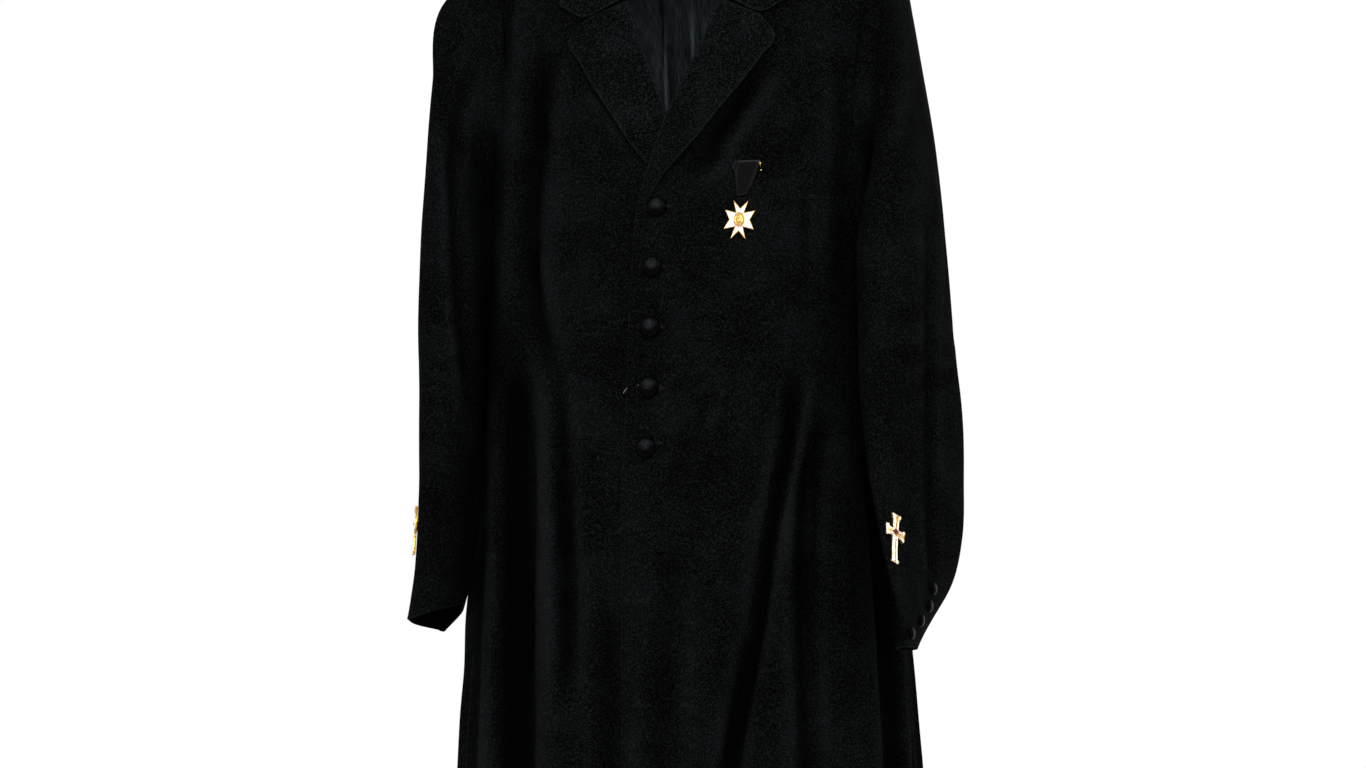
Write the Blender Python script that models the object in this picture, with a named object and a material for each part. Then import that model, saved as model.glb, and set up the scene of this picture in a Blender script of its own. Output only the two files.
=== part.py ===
"""A man's single-breasted black wool frock coat, filled out as it is worn, with nobody in it.

Frame: metres, +Z up, the front faces -Y and the wearer's left is +X. The origin is the middle of
the neck at the level of the side neck points, where the shoulders carry the coat.
"""

import math

import bmesh
import bpy
from mathutils import Vector

for old in list(bpy.data.objects):
    bpy.data.objects.remove(old, do_unlink=True)

MM = 0.001

# ---------------------------------------------------------------- driving sizes, in millimetres
CLOTH = 2.0
LINING = 1.0
SEAM_GAP = 0.3

SHOULDER_TIP = {"x": 205.0, "z": -45.0}
NECK_POINT = {"x": 76.0, "z": 0.0}
NECK_BACK = {"y": 60.0, "z": -8.0}
SHOULDER_ROUND = 115.0
UNDERARM_Z = -268.0
HEM_Z = -1040.0

FRONT_SEAM_ANGLE = 60.0
ARMHOLE_SEAM_Z = -235.0
PLEAT_ANGLE = 151.0
PLEAT_DEPTH = 16.0
PLEAT_HALF_WIDTH = 11.0
PLEAT_FADE = 90.0

BUTTON_ACROSS = 20.0
BUTTON_HIGH = 7.0
BUTTON_TOP_Z = -293.0
BUTTON_STEP = 58.0
BUTTON_COUNT = 5
CUFF_BUTTON_ACROSS = 11.0
CUFF_BUTTON_HIGH = 4.5
CUFF_BUTTON_COUNT = 4

# Body of the coat: the outside of the cloth at each height. Front and back are measured from the
# middle plane, and squareness 2 is an ellipse.
BODY_COLUMNS = ("z", "half_width", "front", "back", "squareness")
BODY_ROWS = (
    (40.0, 205.0, 48.0, 84.0, 3.4),
    (-50.0, 205.0, 50.0, 98.0, 3.4),
    (-100.0, 202.5, 54.0, 108.0, 3.4),
    (-150.0, 200.0, 62.0, 117.0, 3.3),
    (-200.0, 199.0, 74.0, 122.0, 3.1),
    (-250.0, 199.0, 89.0, 124.0, 2.9),
    (-293.0, 200.0, 101.0, 123.0, 2.8),
    (-350.0, 201.5, 115.0, 118.0, 2.7),
    (-410.0, 202.0, 122.0, 110.0, 2.6),
    (-470.0, 202.5, 126.0, 104.0, 2.6),
    (-520.0, 204.0, 134.0, 105.0, 2.5),
    (-600.0, 211.0, 143.0, 120.0, 2.4),
    (-700.0, 220.0, 148.0, 139.0, 2.4),
    (-840.0, 231.5, 153.0, 156.0, 2.4),
    (-1060.0, 243.0, 160.0, 172.0, 2.4),
)

# Height of the waist seam round the body, by angle from the centre front.
WAIST_COLUMNS = ("angle", "z")
WAIST_ROWS = ((0.0, -521.0), (60.0, -511.0), (90.0, -507.0), (150.0, -502.0), (180.0, -500.0))

# The seam between sidebody and back, by height; below the waist it becomes the pleat.
BACK_SEAM_COLUMNS = ("z", "angle")
BACK_SEAM_ROWS = ((-502.0, 151.0), (-450.0, 146.0), (-380.0, 139.0), (-300.0, 129.0), (-235.0, 120.0))

# Soft folds of the worn cloth: the angle from the centre front where each one starts and ends,
# its heights, its depth and half its width. A positive angle is on the wearer's left.
FOLD_COLUMNS = ("angle_top", "z_top", "angle_end", "z_end", "depth", "half_width")
FOLD_ROWS = (
    (-40.0, -95.0, -40.0, -440.0, 8.0, 15.0),
    (-40.0, -440.0, -27.0, -1100.0, 16.0, 19.0),
    (-25.0, -490.0, -17.0, -760.0, 7.0, 9.0),
    (42.0, -430.0, 32.4, -570.0, 9.0, 13.0),
    (33.0, -560.0, 11.0, -1100.0, 13.0, 14.0),
    (52.0, -440.0, 37.0, -1100.0, 9.0, 14.0),
    (37.0, -225.0, 43.5, -400.0, 4.0, 9.0),
    (10.0, -540.0, -6.0, -640.0, 3.0, 9.0),
    (-66.0, -540.0, -60.0, -1100.0, 9.0, 16.0),
    (72.0, -540.0, 66.0, -1100.0, 10.0, 17.0),
    (96.0, -560.0, 100.0, -1100.0, 12.0, 20.0),
    (-98.0, -570.0, -94.0, -1100.0, 11.0, 18.0),
    (126.0, -530.0, 129.0, -1100.0, 10.0, 18.0),
    (-124.0, -530.0, -130.0, -1100.0, 12.0, 18.0),
    (168.0, -560.0, 166.0, -1100.0, 6.0, 14.0),
    (-167.0, -600.0, -168.0, -1100.0, 7.0, 14.0),
    (150.0, -170.0, 162.0, -360.0, 5.0, 14.0),
    (-152.0, -150.0, -161.0, -350.0, 6.0, 14.0),
)
FOLD_END_FADE = 110.0
FOLD_RIDGE = {"away": 2.05, "share": 0.32}

SHARP_ANGLE = 60.0

# Steps for reading the surface's slope.
ANGLE_STEP = 0.4
HEIGHT_STEP = 1.0
RING_STEP = 0.05

# Line on which the front turns back into the lapel, by height; "x" is for the left front.
ROLL_COLUMNS = ("z", "x")
ROLL_ROWS = (
    (-293.0, -22.0), (-250.0, -12.5), (-200.0, 0.5), (-150.0, 22.0),
    (-100.0, 42.0), (-50.0, 61.0), (0.0, 76.0),
)
FRONT_EDGE_COLUMNS = ("z", "x")
FRONT_EDGE_ROWS = ((-293.0, -22.0), (-520.0, -25.0), (-800.0, -21.0), (-1060.0, -20.0))

# Lapels: the line of the roll, the outer edge from the break up to the tip, then the gorge. The
# lifts say how far the lapel's outside stands off the chest, at its middle and at its edge.
LAPEL_COLUMNS = ("roll_z", "edge_x", "edge_z", "lift_middle", "lift_edge")
LAPEL_ROWS = {
    "left": (
        (-289.0, -12.0, -289.5, 2.8, 2.8),
        (-272.0, 3.0, -264.0, 4.5, 7.0),
        (-250.0, 20.5, -245.0, 6.0, 12.0),
        (-226.0, 38.0, -225.0, 7.0, 14.0),
        (-200.0, 56.0, -199.0, 7.5, 12.0),
        (-172.0, 76.0, -172.0, 7.5, 9.0),
        (-142.0, 93.0, -147.0, 7.0, 6.5),
        (-112.0, 106.0, -125.0, 6.0, 5.0),
        (-86.0, 90.0, -104.0, 5.0, 4.5),
    ),
    "right": (
        (-252.0, 18.5, -247.0, 3.0, 3.0),
        (-226.0, 38.0, -225.0, 3.0, 5.0),
        (-200.0, 56.0, -199.0, 4.5, 8.0),
        (-172.0, 76.0, -172.0, 7.0, 8.0),
        (-142.0, 93.0, -147.0, 7.0, 6.0),
        (-112.0, 106.0, -125.0, 6.0, 5.0),
        (-86.0, 90.0, -104.0, 5.0, 4.5),
    ),
}
LAPEL_SPANS = 6
LAPEL_LEAST_GAP = {"left": 0.4, "right": 1.3}

# How far the right front goes under the left one, by height.
TUCK_COLUMNS = ("z", "depth")
TUCK_ROWS = ((-1100.0, 3.6), (-310.0, 3.6), (-290.0, 7.2), (-205.0, 7.2), (-150.0, 0.0), (0.0, 0.0))
TUCK_RAMP = 38.0

# Collar stations from the front end to the centre back: the neck seam, the crease where the
# collar turns over, the outer edge, and how far its end dips to meet the lapel.
COLLAR_COLUMNS = ("seam_x", "seam_y", "seam_z", "roll_x", "roll_y", "roll_z",
                  "edge_x", "edge_y", "edge_z", "dip")
COLLAR_ROWS = (
    (50.5, -45.0, -80.0, 47.5, -50.5, -82.0, 118.0, -51.0, -88.0, 16.5),
    (58.5, -38.0, -55.0, 57.0, -43.5, -51.0, 123.0, -45.5, -66.0, 6.0),
    (66.0, -27.0, -29.0, 67.0, -31.5, -18.0, 125.0, -33.0, -42.0, 1.0),
    (71.0, -12.0, -7.0, 74.5, -13.0, 12.0, 121.0, -13.0, -15.0, 0.0),
    (70.0, 11.0, 1.0, 74.0, 13.0, 27.0, 113.0, 17.0, -9.0, 0.0),
    (59.0, 34.0, -1.0, 64.0, 39.0, 33.0, 97.0, 53.0, -14.0, 0.0),
    (40.0, 49.0, -4.0, 43.5, 56.0, 36.0, 66.0, 84.0, -20.0, 0.0),
    (20.0, 55.0, -5.5, 22.0, 62.5, 37.5, 33.0, 96.0, -25.0, 0.0),
    (0.0, 56.5, -6.0, 0.0, 64.5, 38.0, 0.0, 99.5, -27.0, 0.0),
)
COLLAR_FALL_SPANS = 6
COLLAR_CLEARANCE = 4.2
COLLAR_FOLD_RADIUS = 2.6

# Armhole: its front and back edges from the shoulder tip down to the side seams.
ARMHOLE_COLUMNS = ("z", "front_x", "back_x")
ARMHOLE_ROWS = (
    (-45.0, 205.0, 205.0), (-58.0, 199.0, 199.5), (-80.0, 192.5, 194.0), (-110.0, 187.0, 189.0),
    (-150.0, 183.0, 185.0), (-190.0, 182.0, 183.5), (-235.0, 183.5, 183.5),
)

# Sleeves: oval rings from the armhole to the cuff. "out" and "in" are the ring's outer and inner
# ends; depth is half its size from front to back, and turn swings the hind edge outward. The
# squareness of its fore and hind halves is 2 for an oval and less for a pointed one.
SLEEVE_COLUMNS = ("out_x", "out_z", "in_x", "in_z", "y", "depth", "turn", "pitch", "fore_square",
                  "hind_square")
SLEEVE_ROWS = {
    "left": (
        (208.0, -48.0, 200.0, -269.0, 14.0, 61.0, 0.0, 0.0, 2.0, 2.0),
        (214.0, -58.0, 203.0, -271.5, 9.0, 67.0, 0.0, 0.0, 2.0, 2.0),
        (222.0, -90.0, 203.5, -277.0, 0.0, 70.0, 2.0, 0.0, 2.0, 2.0),
        (235.5, -150.0, 203.5, -286.0, -15.0, 72.0, 3.0, 1.0, 2.1, 2.1),
        (254.0, -232.0, 200.0, -300.0, -39.0, 73.0, 4.0, 3.0, 2.2, 2.2),
        (268.5, -320.0, 197.0, -335.0, -60.0, 71.0, 5.0, 5.0, 2.3, 2.3),
        (277.5, -410.0, 200.5, -410.0, -68.0, 71.0, 9.5, 5.0, 2.1, 2.1),
        (283.5, -482.0, 206.5, -482.0, -76.0, 77.0, 13.5, 6.0, 1.8, 2.1),
        (282.5, -546.0, 218.5, -546.0, -87.0, 81.0, 15.5, 7.0, 1.5, 2.1),
        (283.0, -602.0, 233.0, -602.0, -99.0, 80.0, 13.0, 8.0, 1.4, 2.1),
        (280.0, -648.0, 243.0, -648.0, -112.0, 76.0, 7.0, 8.0, 1.4, 2.1),
        (272.0, -684.0, 247.0, -684.0, -123.0, 69.0, -4.0, 7.0, 1.5, 2.3),
        (265.0, -712.0, 245.0, -712.0, -133.0, 65.0, -13.0, 6.0, 1.6, 2.5),
    ),
    "right": (
        (210.0, -47.0, 200.0, -269.0, 14.0, 61.0, 0.0, 0.0, 2.0, 2.0),
        (236.0, -52.0, 203.0, -271.5, 9.0, 67.0, 0.0, 0.0, 2.0, 2.0),
        (256.0, -72.0, 204.5, -277.0, 0.0, 70.0, 1.0, 0.0, 2.0, 2.0),
        (260.0, -146.0, 205.5, -286.0, -12.0, 72.0, 2.0, 1.0, 2.1, 2.1),
        (260.5, -236.0, 203.0, -300.0, -26.0, 72.0, 3.0, 3.0, 2.2, 2.2),
        (262.0, -325.0, 200.0, -338.0, -40.0, 70.0, 4.0, 5.0, 2.3, 2.3),
        (263.5, -412.0, 198.5, -415.0, -47.0, 68.0, 5.0, 5.0, 2.3, 2.3),
        (258.5, -485.0, 198.5, -485.0, -55.0, 66.0, 4.0, 7.0, 2.3, 2.3),
        (252.5, -548.0, 200.5, -546.0, -67.0, 64.0, 2.0, 9.0, 2.2, 2.0),
        (248.0, -605.0, 202.5, -600.0, -82.0, 60.0, 1.0, 9.0, 2.1, 1.7),
        (250.0, -650.0, 202.5, -640.0, -94.0, 60.0, 5.0, 8.0, 1.9, 1.7),
        (254.0, -678.0, 200.5, -664.0, -102.0, 61.0, 9.0, 6.0, 1.7, 1.7),
        (256.0, -697.0, 199.5, -681.0, -109.0, 62.0, 13.0, 3.0, 1.5, 1.5),
    ),
}
# A long fold presses into the outer face of the left sleeve, from above the elbow to the cuff.
SLEEVE_FOLD = {"side": 1, "angle": 14.0, "half_angle": 58.0, "deep": 12.0, "first_ring": 5.0,
               "full_ring": 8.5, "fading_ring": 10.4, "last_ring": 12.0}
# The right cuff hangs lower in a point at its hind seam.
CUFF_POINT = {"side": -1, "angle": 274.0, "half_angle": 84.0, "deep": 22.0, "first_ring": 10.5}
FRONT_SLEEVE_SEAM = 122.0
HIND_SLEEVE_SEAM = 262.0

UPPER_ROWS = 9
LOWER_ROWS = 6
SKIRT_ROWS = 11
FOREPART_SPANS = 18
SIDEBODY_SPANS = 8
BACK_SPANS = 10
SKIRT_SPANS = 44

# Profile of a covered button from the middle of its back to the rim and up the dome, in shares
# of its radius and of its height.
BUTTON_COLUMNS = ("out", "up")
BUTTON_PROFILE = ((0.86, 0.0), (1.0, 0.22), (0.97, 0.42), (0.78, 0.76), (0.42, 0.95))
BUTTON_SHANK_GAPS = (0.8, 0.5, 0.8, 0.8, 0.8)
BUTTON_SIDES = 16
CUFF_BUTTON_SIDES = 8
CUFF_BUTTON_COLUMNS = ("ring", "angle", "gap")
CUFF_BUTTON_PLACES = {
    "left": ((11.2, -3.0, 0.1), (11.65, 4.0, -0.5), (12.1, 30.0, 0.45), (12.55, 62.0, 0.45)),
    "right": ((11.2, 284.0, 0.4), (11.7, 284.0, 0.4), (12.2, 284.0, 0.4), (12.7, 284.0, 0.4)),
}
WAIST_BUTTON = {"above_seam": 5.0, "gap": 1.2}

# Embroidered cross: its size, how far its arms stand above the middle, where the bars begin to
# widen as shares of each arm, and how wide they are there.
SLEEVE_CROSS = {"high": 47.0, "wide": 24.0, "bar": 6.4, "flare": 11.0, "thick": 2.4, "seat": 0.6,
                "top_share": 0.36, "arm_turn": 0.62, "top_turn": 0.65, "foot_turn": 0.88,
                "foot_middle": 0.55, "turn_swell": 1.1}
SLEEVE_CROSS_PLACE = {"left": {"angle": 64.0, "ring": 10.2, "roll": 16.0},
                      "right": {"angle": 42.0, "ring": 10.1, "roll": 0.0}}
BADGE = {"x": 84.5, "seat": 0.6, "ribbon_z": -250.0, "ribbon_wide": 28.0, "ribbon_high": 34.0,
         "ribbon_foot": 8.0, "ribbon_lean": 3.0, "ribbon": 1.0, "pin_wide": 30.0, "pin_high": 2.4,
         "pin_thick": 1.6, "pin_above": 0.8, "cross_x": 83.0, "cross_z": -306.5, "cross_wide": 32.0,
         "cross_high": 42.0, "cross_seat": 0.6, "thick": 2.0, "boss_wide": 11.0, "boss_high": 2.4}
# One arm of the badge's cross: the angle off its middle line and the reach there, ending between
# two arms.
BADGE_ARM_COLUMNS = ("off", "reach")
BADGE_ARM = ((-24.0, 1.095), (0.0, 0.80), (24.0, 1.095), (45.0, 0.283))
ACROSS = (-1.0, -0.5, 0.0, 0.5, 1.0)

# Back lining: places across each half and up the panel, counted in the panel's own spans from
# the centre back and from the waist seam, and how far the pleat on the right half stands off.
LINING_GAP = 1.4
LINING_ACROSS = {
    "left": (0.0, 1.0, 2.0, 3.0, 4.0, 5.0, 6.0, 7.0, 8.0, 9.0, 9.4),
    "right": (0.0, 1.0, 1.4, 1.5, 2.0, 3.0, 3.1, 4.0, 5.0, 6.0, 7.0, 8.0, 9.0, 9.4),
}
LINING_PLEAT = {"from": 1.5, "to": 3.0, "high": 2.6}
LINING_FOOT = 0.15
LINING_TOP = 0.75


COLOURS = {
    "wool": (0.0080, 0.0085, 0.0095),
    "lapel_wool": (0.0090, 0.0095, 0.0105),
    "sateen": (0.0110, 0.0115, 0.0120),
    "covered_button": (0.0070, 0.0072, 0.0080),
    "bullion": (0.72, 0.56, 0.24),
    "ribbon": (0.0060, 0.0060, 0.0070),
    "enamel": (0.90, 0.88, 0.82),
    "gilt": (0.80, 0.55, 0.16),
}


# ---------------------------------------------------------------- reading the tables
def smooth_row(columns, rows, key, value):
    """The table's other columns at a value of its key column, on a smooth curve through the rows."""
    index = columns.index(key)
    ordered = sorted(rows, key=lambda row: row[index])
    value = min(max(value, ordered[0][index]), ordered[-1][index])
    place = 0
    while place < len(ordered) - 2 and ordered[place + 1][index] < value:
        place += 1
    before = ordered[max(place - 1, 0)]
    low = ordered[place]
    high = ordered[place + 1]
    after = ordered[min(place + 2, len(ordered) - 1)]
    span = high[index] - low[index]
    t = (value - low[index]) / span
    result = {}
    for column, name in enumerate(columns):
        step = high[column] - low[column]
        slope_low = step / span
        slope_high = step / span
        if before is not low:
            slope_low = (high[column] - before[column]) / (high[index] - before[index])
        if after is not high:
            slope_high = (after[column] - low[column]) / (after[index] - low[index])
        square = t * t
        cube = square * t
        result[name] = (
            (2 * cube - 3 * square + 1) * low[column]
            + (cube - 2 * square + t) * span * slope_low
            + (3 * square - 2 * cube) * high[column]
            + (cube - square) * span * slope_high
        )
    return result


def blend(start, end, share):
    return start + (end - start) * share


def soft_step(value):
    value = min(max(value, 0.0), 1.0)
    return value * value * (3.0 - 2.0 * value)


# ---------------------------------------------------------------- the body's outer surface
def shoulder_height(x):
    """Height of the shoulder seam above a point x from the middle plane."""
    fall = (SHOULDER_TIP["z"] - NECK_POINT["z"]) / (SHOULDER_TIP["x"] - NECK_POINT["x"])
    return NECK_POINT["z"] + fall * max(abs(x) - NECK_POINT["x"], 0.0)


def neck_edge(x):
    """Back neck edge: how far it lies behind the shoulder line, and its height."""
    share = min(abs(x) / NECK_POINT["x"], 1.0)
    depth = NECK_BACK["y"] * math.sqrt(1.0 - share * share)
    return depth, NECK_BACK["z"] * (1.0 - share * share)


def body_size(z):
    return smooth_row(BODY_COLUMNS, BODY_ROWS, "z", z)


def body_angle(x, z, behind=False):
    """Angle from the centre front of the body's point at a given x."""
    size = body_size(z)
    share = min(abs(x) / size["half_width"], 1.0)
    rest = (1.0 - share ** size["squareness"]) ** (1.0 / size["squareness"])
    angle = math.degrees(math.atan2(share, rest))
    if behind:
        angle = 180.0 - angle
    return math.copysign(angle, x)


def plain_body(angle, z):
    """The body without its folds, in millimetres."""
    size = body_size(z)
    sine = math.sin(math.radians(angle))
    cosine = math.cos(math.radians(angle))
    power = size["squareness"]
    reach = (abs(sine) ** power + abs(cosine) ** power) ** (1.0 / power)
    x = size["half_width"] * sine / reach
    top_y, top_z = 0.0, shoulder_height(x)
    if cosine < 0.0 and abs(x) < NECK_POINT["x"]:
        top_y, top_z = neck_edge(x)
    rise = min(max((top_z - z) / SHOULDER_ROUND, 0.0), 1.0)
    rounding = math.sqrt(1.0 - (1.0 - rise) ** 2)
    if cosine >= 0.0:
        y = -size["front"] * cosine / reach * rounding
    else:
        y = top_y + (-size["back"] * cosine / reach - top_y) * rounding
    return Vector((x, y, z))


def trough_shape(away):
    """A soft trough with a low ridge on each side; away is counted in half widths."""
    trough = math.exp(-away * away)
    ridge = math.exp(-(away - FOLD_RIDGE["away"]) ** 2)
    return trough - FOLD_RIDGE["share"] * ridge


def fold_depth(angle, z):
    """How far the folds draw the cloth in at a point of the body."""
    total = 0.0
    reach = math.radians(body_size(z)["half_width"])
    for row in FOLD_ROWS:
        fold = dict(zip(FOLD_COLUMNS, row))
        if z > fold["z_top"] or z < fold["z_end"]:
            continue
        share = (fold["z_top"] - z) / (fold["z_top"] - fold["z_end"])
        middle = blend(fold["angle_top"], fold["angle_end"], share)
        away = abs(angle - middle) * reach / fold["half_width"]
        fade = soft_step((fold["z_top"] - z) / FOLD_END_FADE)
        fade *= soft_step((z - fold["z_end"]) / FOLD_END_FADE)
        total += fold["depth"] * fade * trough_shape(away)
    away = abs(abs(angle) - PLEAT_ANGLE) * reach / PLEAT_HALF_WIDTH
    grow = soft_step((waist_z(PLEAT_ANGLE) - z) / PLEAT_FADE)
    return total + PLEAT_DEPTH * grow * trough_shape(away)


def tuck_depth(side, x, z):
    """How far the right front is drawn in where the left one lies over it."""
    if side > 0:
        return 0.0
    if z > ROLL_ROWS[0][0]:
        edge = smooth_row(ROLL_COLUMNS, ROLL_ROWS, "z", z)["x"]
    else:
        edge = smooth_row(FRONT_EDGE_COLUMNS, FRONT_EDGE_ROWS, "z", z)["x"]
    depth = smooth_row(TUCK_COLUMNS, TUCK_ROWS, "z", z)["depth"]
    return max(depth, 0.0) * soft_step((x - edge + 3.0 + TUCK_RAMP) / TUCK_RAMP)


def body_point(side, angle, z):
    """Outside of the cloth; angle is signed, positive on the wearer's left."""
    point = plain_body(angle, z)
    along = plain_body(angle + ANGLE_STEP, z) - plain_body(angle - ANGLE_STEP, z)
    up = plain_body(angle, z + HEIGHT_STEP) - plain_body(angle, z - HEIGHT_STEP)
    out = along.cross(up).normalized()
    return point - out * (fold_depth(angle, z) + tuck_depth(side, point.x, z))


def body_normal(side, angle, z):
    along = body_point(side, angle + ANGLE_STEP, z) - body_point(side, angle - ANGLE_STEP, z)
    up = body_point(side, angle, z + HEIGHT_STEP) - body_point(side, angle, z - HEIGHT_STEP)
    return along.cross(up).normalized()


def shoulder_normal(side):
    run = SHOULDER_TIP["x"] - NECK_POINT["x"]
    drop = NECK_POINT["z"] - SHOULDER_TIP["z"]
    return Vector((side * drop, 0.0, run)).normalized()


# ---------------------------------------------------------------- walls of cloth
def new_object(name, mesh, colour, rough, metal=0.0):
    material = bpy.data.materials.new(name + "_material")
    material.use_nodes = True
    surface = material.node_tree.nodes["Principled BSDF"]
    surface.inputs["Base Color"].default_value = (*COLOURS[colour], 1.0)
    surface.inputs["Roughness"].default_value = rough
    surface.inputs["Metallic"].default_value = metal
    mesh.materials.append(material)
    mesh.shade_smooth()
    mesh.set_sharp_from_angle(angle=math.radians(SHARP_ANGLE))
    made = bpy.data.objects.new(name, mesh)
    bpy.context.scene.collection.objects.link(made)
    return made


def mesh_of(name, points, faces):
    """A closed mesh in metres, with its faces turned outward."""
    mesh = bpy.data.meshes.new(name)
    mesh.from_pydata([point * MM for point in points], [], faces)
    shape = bmesh.new()
    shape.from_mesh(mesh)
    bmesh.ops.recalc_face_normals(shape, faces=shape.faces)
    if shape.calc_volume(signed=True) < 0.0:
        bmesh.ops.reverse_faces(shape, faces=shape.faces)
    shape.to_mesh(mesh)
    shape.free()
    return mesh


def trim(points, edges):
    """Draw the named edges of a grid of points in by half a seam gap."""
    half = SEAM_GAP / 2.0
    if "first_row" in edges:
        for column, point in enumerate(points[0]):
            points[0][column] = point + (points[1][column] - point).normalized() * half
    if "last_row" in edges:
        for column, point in enumerate(points[-1]):
            points[-1][column] = point + (points[-2][column] - point).normalized() * half
    if "first_column" in edges:
        for row in points:
            row[0] = row[0] + (row[1] - row[0]).normalized() * half
    if "last_column" in edges:
        for row in points:
            row[-1] = row[-1] + (row[-2] - row[-1]).normalized() * half
    return points


def wall(name, outside, inside, colour, rough=0.85, ring=False):
    """A closed wall between two matching grids of points; ring joins each row's ends."""
    rows = len(outside)
    columns = len(outside[0])
    points = [point for row in outside for point in row] + [point for row in inside for point in row]
    back = rows * columns
    faces = []
    spans = columns if ring else columns - 1
    for row in range(rows - 1):
        for column in range(spans):
            after = (column + 1) % columns
            a = row * columns + column
            b = row * columns + after
            c = (row + 1) * columns + after
            d = (row + 1) * columns + column
            faces.append((a, b, c, d))
            faces.append((back + d, back + c, back + b, back + a))
    for column in range(spans):
        after = (column + 1) % columns
        last = (rows - 1) * columns
        faces.append((column, back + column, back + after, after))
        faces.append((last + column, last + after, back + last + after, back + last + column))
    if not ring:
        for row in range(rows - 1):
            a = row * columns
            b = (row + 1) * columns
            faces.append((a, b, back + b, back + a))
            faces.append((a + spans, back + a + spans, back + b + spans, b + spans))
    return new_object(name, mesh_of(name, points, faces), colour, rough)


def panel_faces(side, places, top_is_seam=False):
    """Points on the two faces of a body panel; places is a grid of angle and height pairs."""
    outside = []
    normals = []
    for row in places:
        outside.append([body_point(side, angle, z) for angle, z in row])
        normals.append([body_normal(side, angle, z) for angle, z in row])
    if top_is_seam:
        for column, (angle, z) in enumerate(places[-1]):
            point = plain_body(angle, z)
            outside[-1][column] = point
            if abs(point.x) >= NECK_POINT["x"] - 1.0:
                normals[-1][column] = shoulder_normal(side)
    outside = trim(outside, ("first_row", "last_row", "first_column", "last_column"))
    inside = [[p - n * CLOTH for p, n in zip(*pair)] for pair in zip(outside, normals)]
    return outside, inside


def body_wall(name, side, places, top_is_seam=False):
    outside, inside = panel_faces(side, places, top_is_seam)
    wall(name, outside, inside, "wool")


def waist_z(angle):
    return smooth_row(WAIST_COLUMNS, WAIST_ROWS, "angle", abs(angle))["z"]


def back_seam_angle(z):
    return smooth_row(BACK_SEAM_COLUMNS, BACK_SEAM_ROWS, "z", z)["angle"]


def armhole_x(z, behind):
    row = smooth_row(ARMHOLE_COLUMNS, ARMHOLE_ROWS, "z", z)
    return row["back_x"] if behind else row["front_x"]


def underarm_z(angle):
    """Height of the armhole's lower edge, between the two side seams."""
    half = 90.0 - FRONT_SEAM_ANGLE
    share = (abs(angle) - 90.0) / half
    return UNDERARM_Z + (ARMHOLE_SEAM_Z - UNDERARM_Z) * share * share


# ---------------------------------------------------------------- panels of the body
def forepart(side):
    """Chest panel from the waist seam to the shoulder, inner edge first; rows run upward."""
    waist_in, waist_out = waist_z(0.0), waist_z(FRONT_SEAM_ANGLE)
    break_z = ROLL_ROWS[0][0]
    places = []
    for step in range(LOWER_ROWS + UPPER_ROWS + 1):
        lower = step <= LOWER_ROWS
        share = step / LOWER_ROWS if lower else (step - LOWER_ROWS) / UPPER_ROWS
        z_in = blend(waist_in, break_z, share) if lower else blend(break_z, NECK_POINT["z"], share)
        z_out = blend(waist_out, ARMHOLE_SEAM_Z, share)
        if not lower:
            z_out = blend(ARMHOLE_SEAM_Z, SHOULDER_TIP["z"], share)
        edge_rows = (FRONT_EDGE_COLUMNS, FRONT_EDGE_ROWS) if lower else (ROLL_COLUMNS, ROLL_ROWS)
        x_in = smooth_row(*edge_rows, "z", z_in)["x"]
        if lower:
            x_out = plain_body(FRONT_SEAM_ANGLE, z_out).x
        else:
            x_out = armhole_x(z_out, behind=False)
        row = []
        for column in range(FOREPART_SPANS + 1):
            across = column / FOREPART_SPANS
            x = blend(x_in, x_out, across)
            z = blend(z_in, z_out, across)
            if step == 0:
                z = waist_z(body_angle(x, z))
            if step == LOWER_ROWS + UPPER_ROWS:
                z = shoulder_height(x)
            angle = FRONT_SEAM_ANGLE if lower and column == FOREPART_SPANS else body_angle(x, z)
            row.append((side * angle, z))
        places.append(row)
    return places


def sidebody(side):
    """Underarm panel from the waist seam to the armhole, front seam first."""
    places = []
    for step in range(LOWER_ROWS + 1):
        share = step / LOWER_ROWS
        row = []
        for column in range(SIDEBODY_SPANS + 1):
            across = column / SIDEBODY_SPANS
            hind_z = blend(waist_z(PLEAT_ANGLE), ARMHOLE_SEAM_Z, share)
            angle = blend(FRONT_SEAM_ANGLE, back_seam_angle(hind_z), across)
            top_angle = blend(FRONT_SEAM_ANGLE, 180.0 - FRONT_SEAM_ANGLE, across)
            z = blend(waist_z(angle), underarm_z(top_angle), share)
            row.append((side * angle, z))
        places.append(row)
    return places


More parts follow.
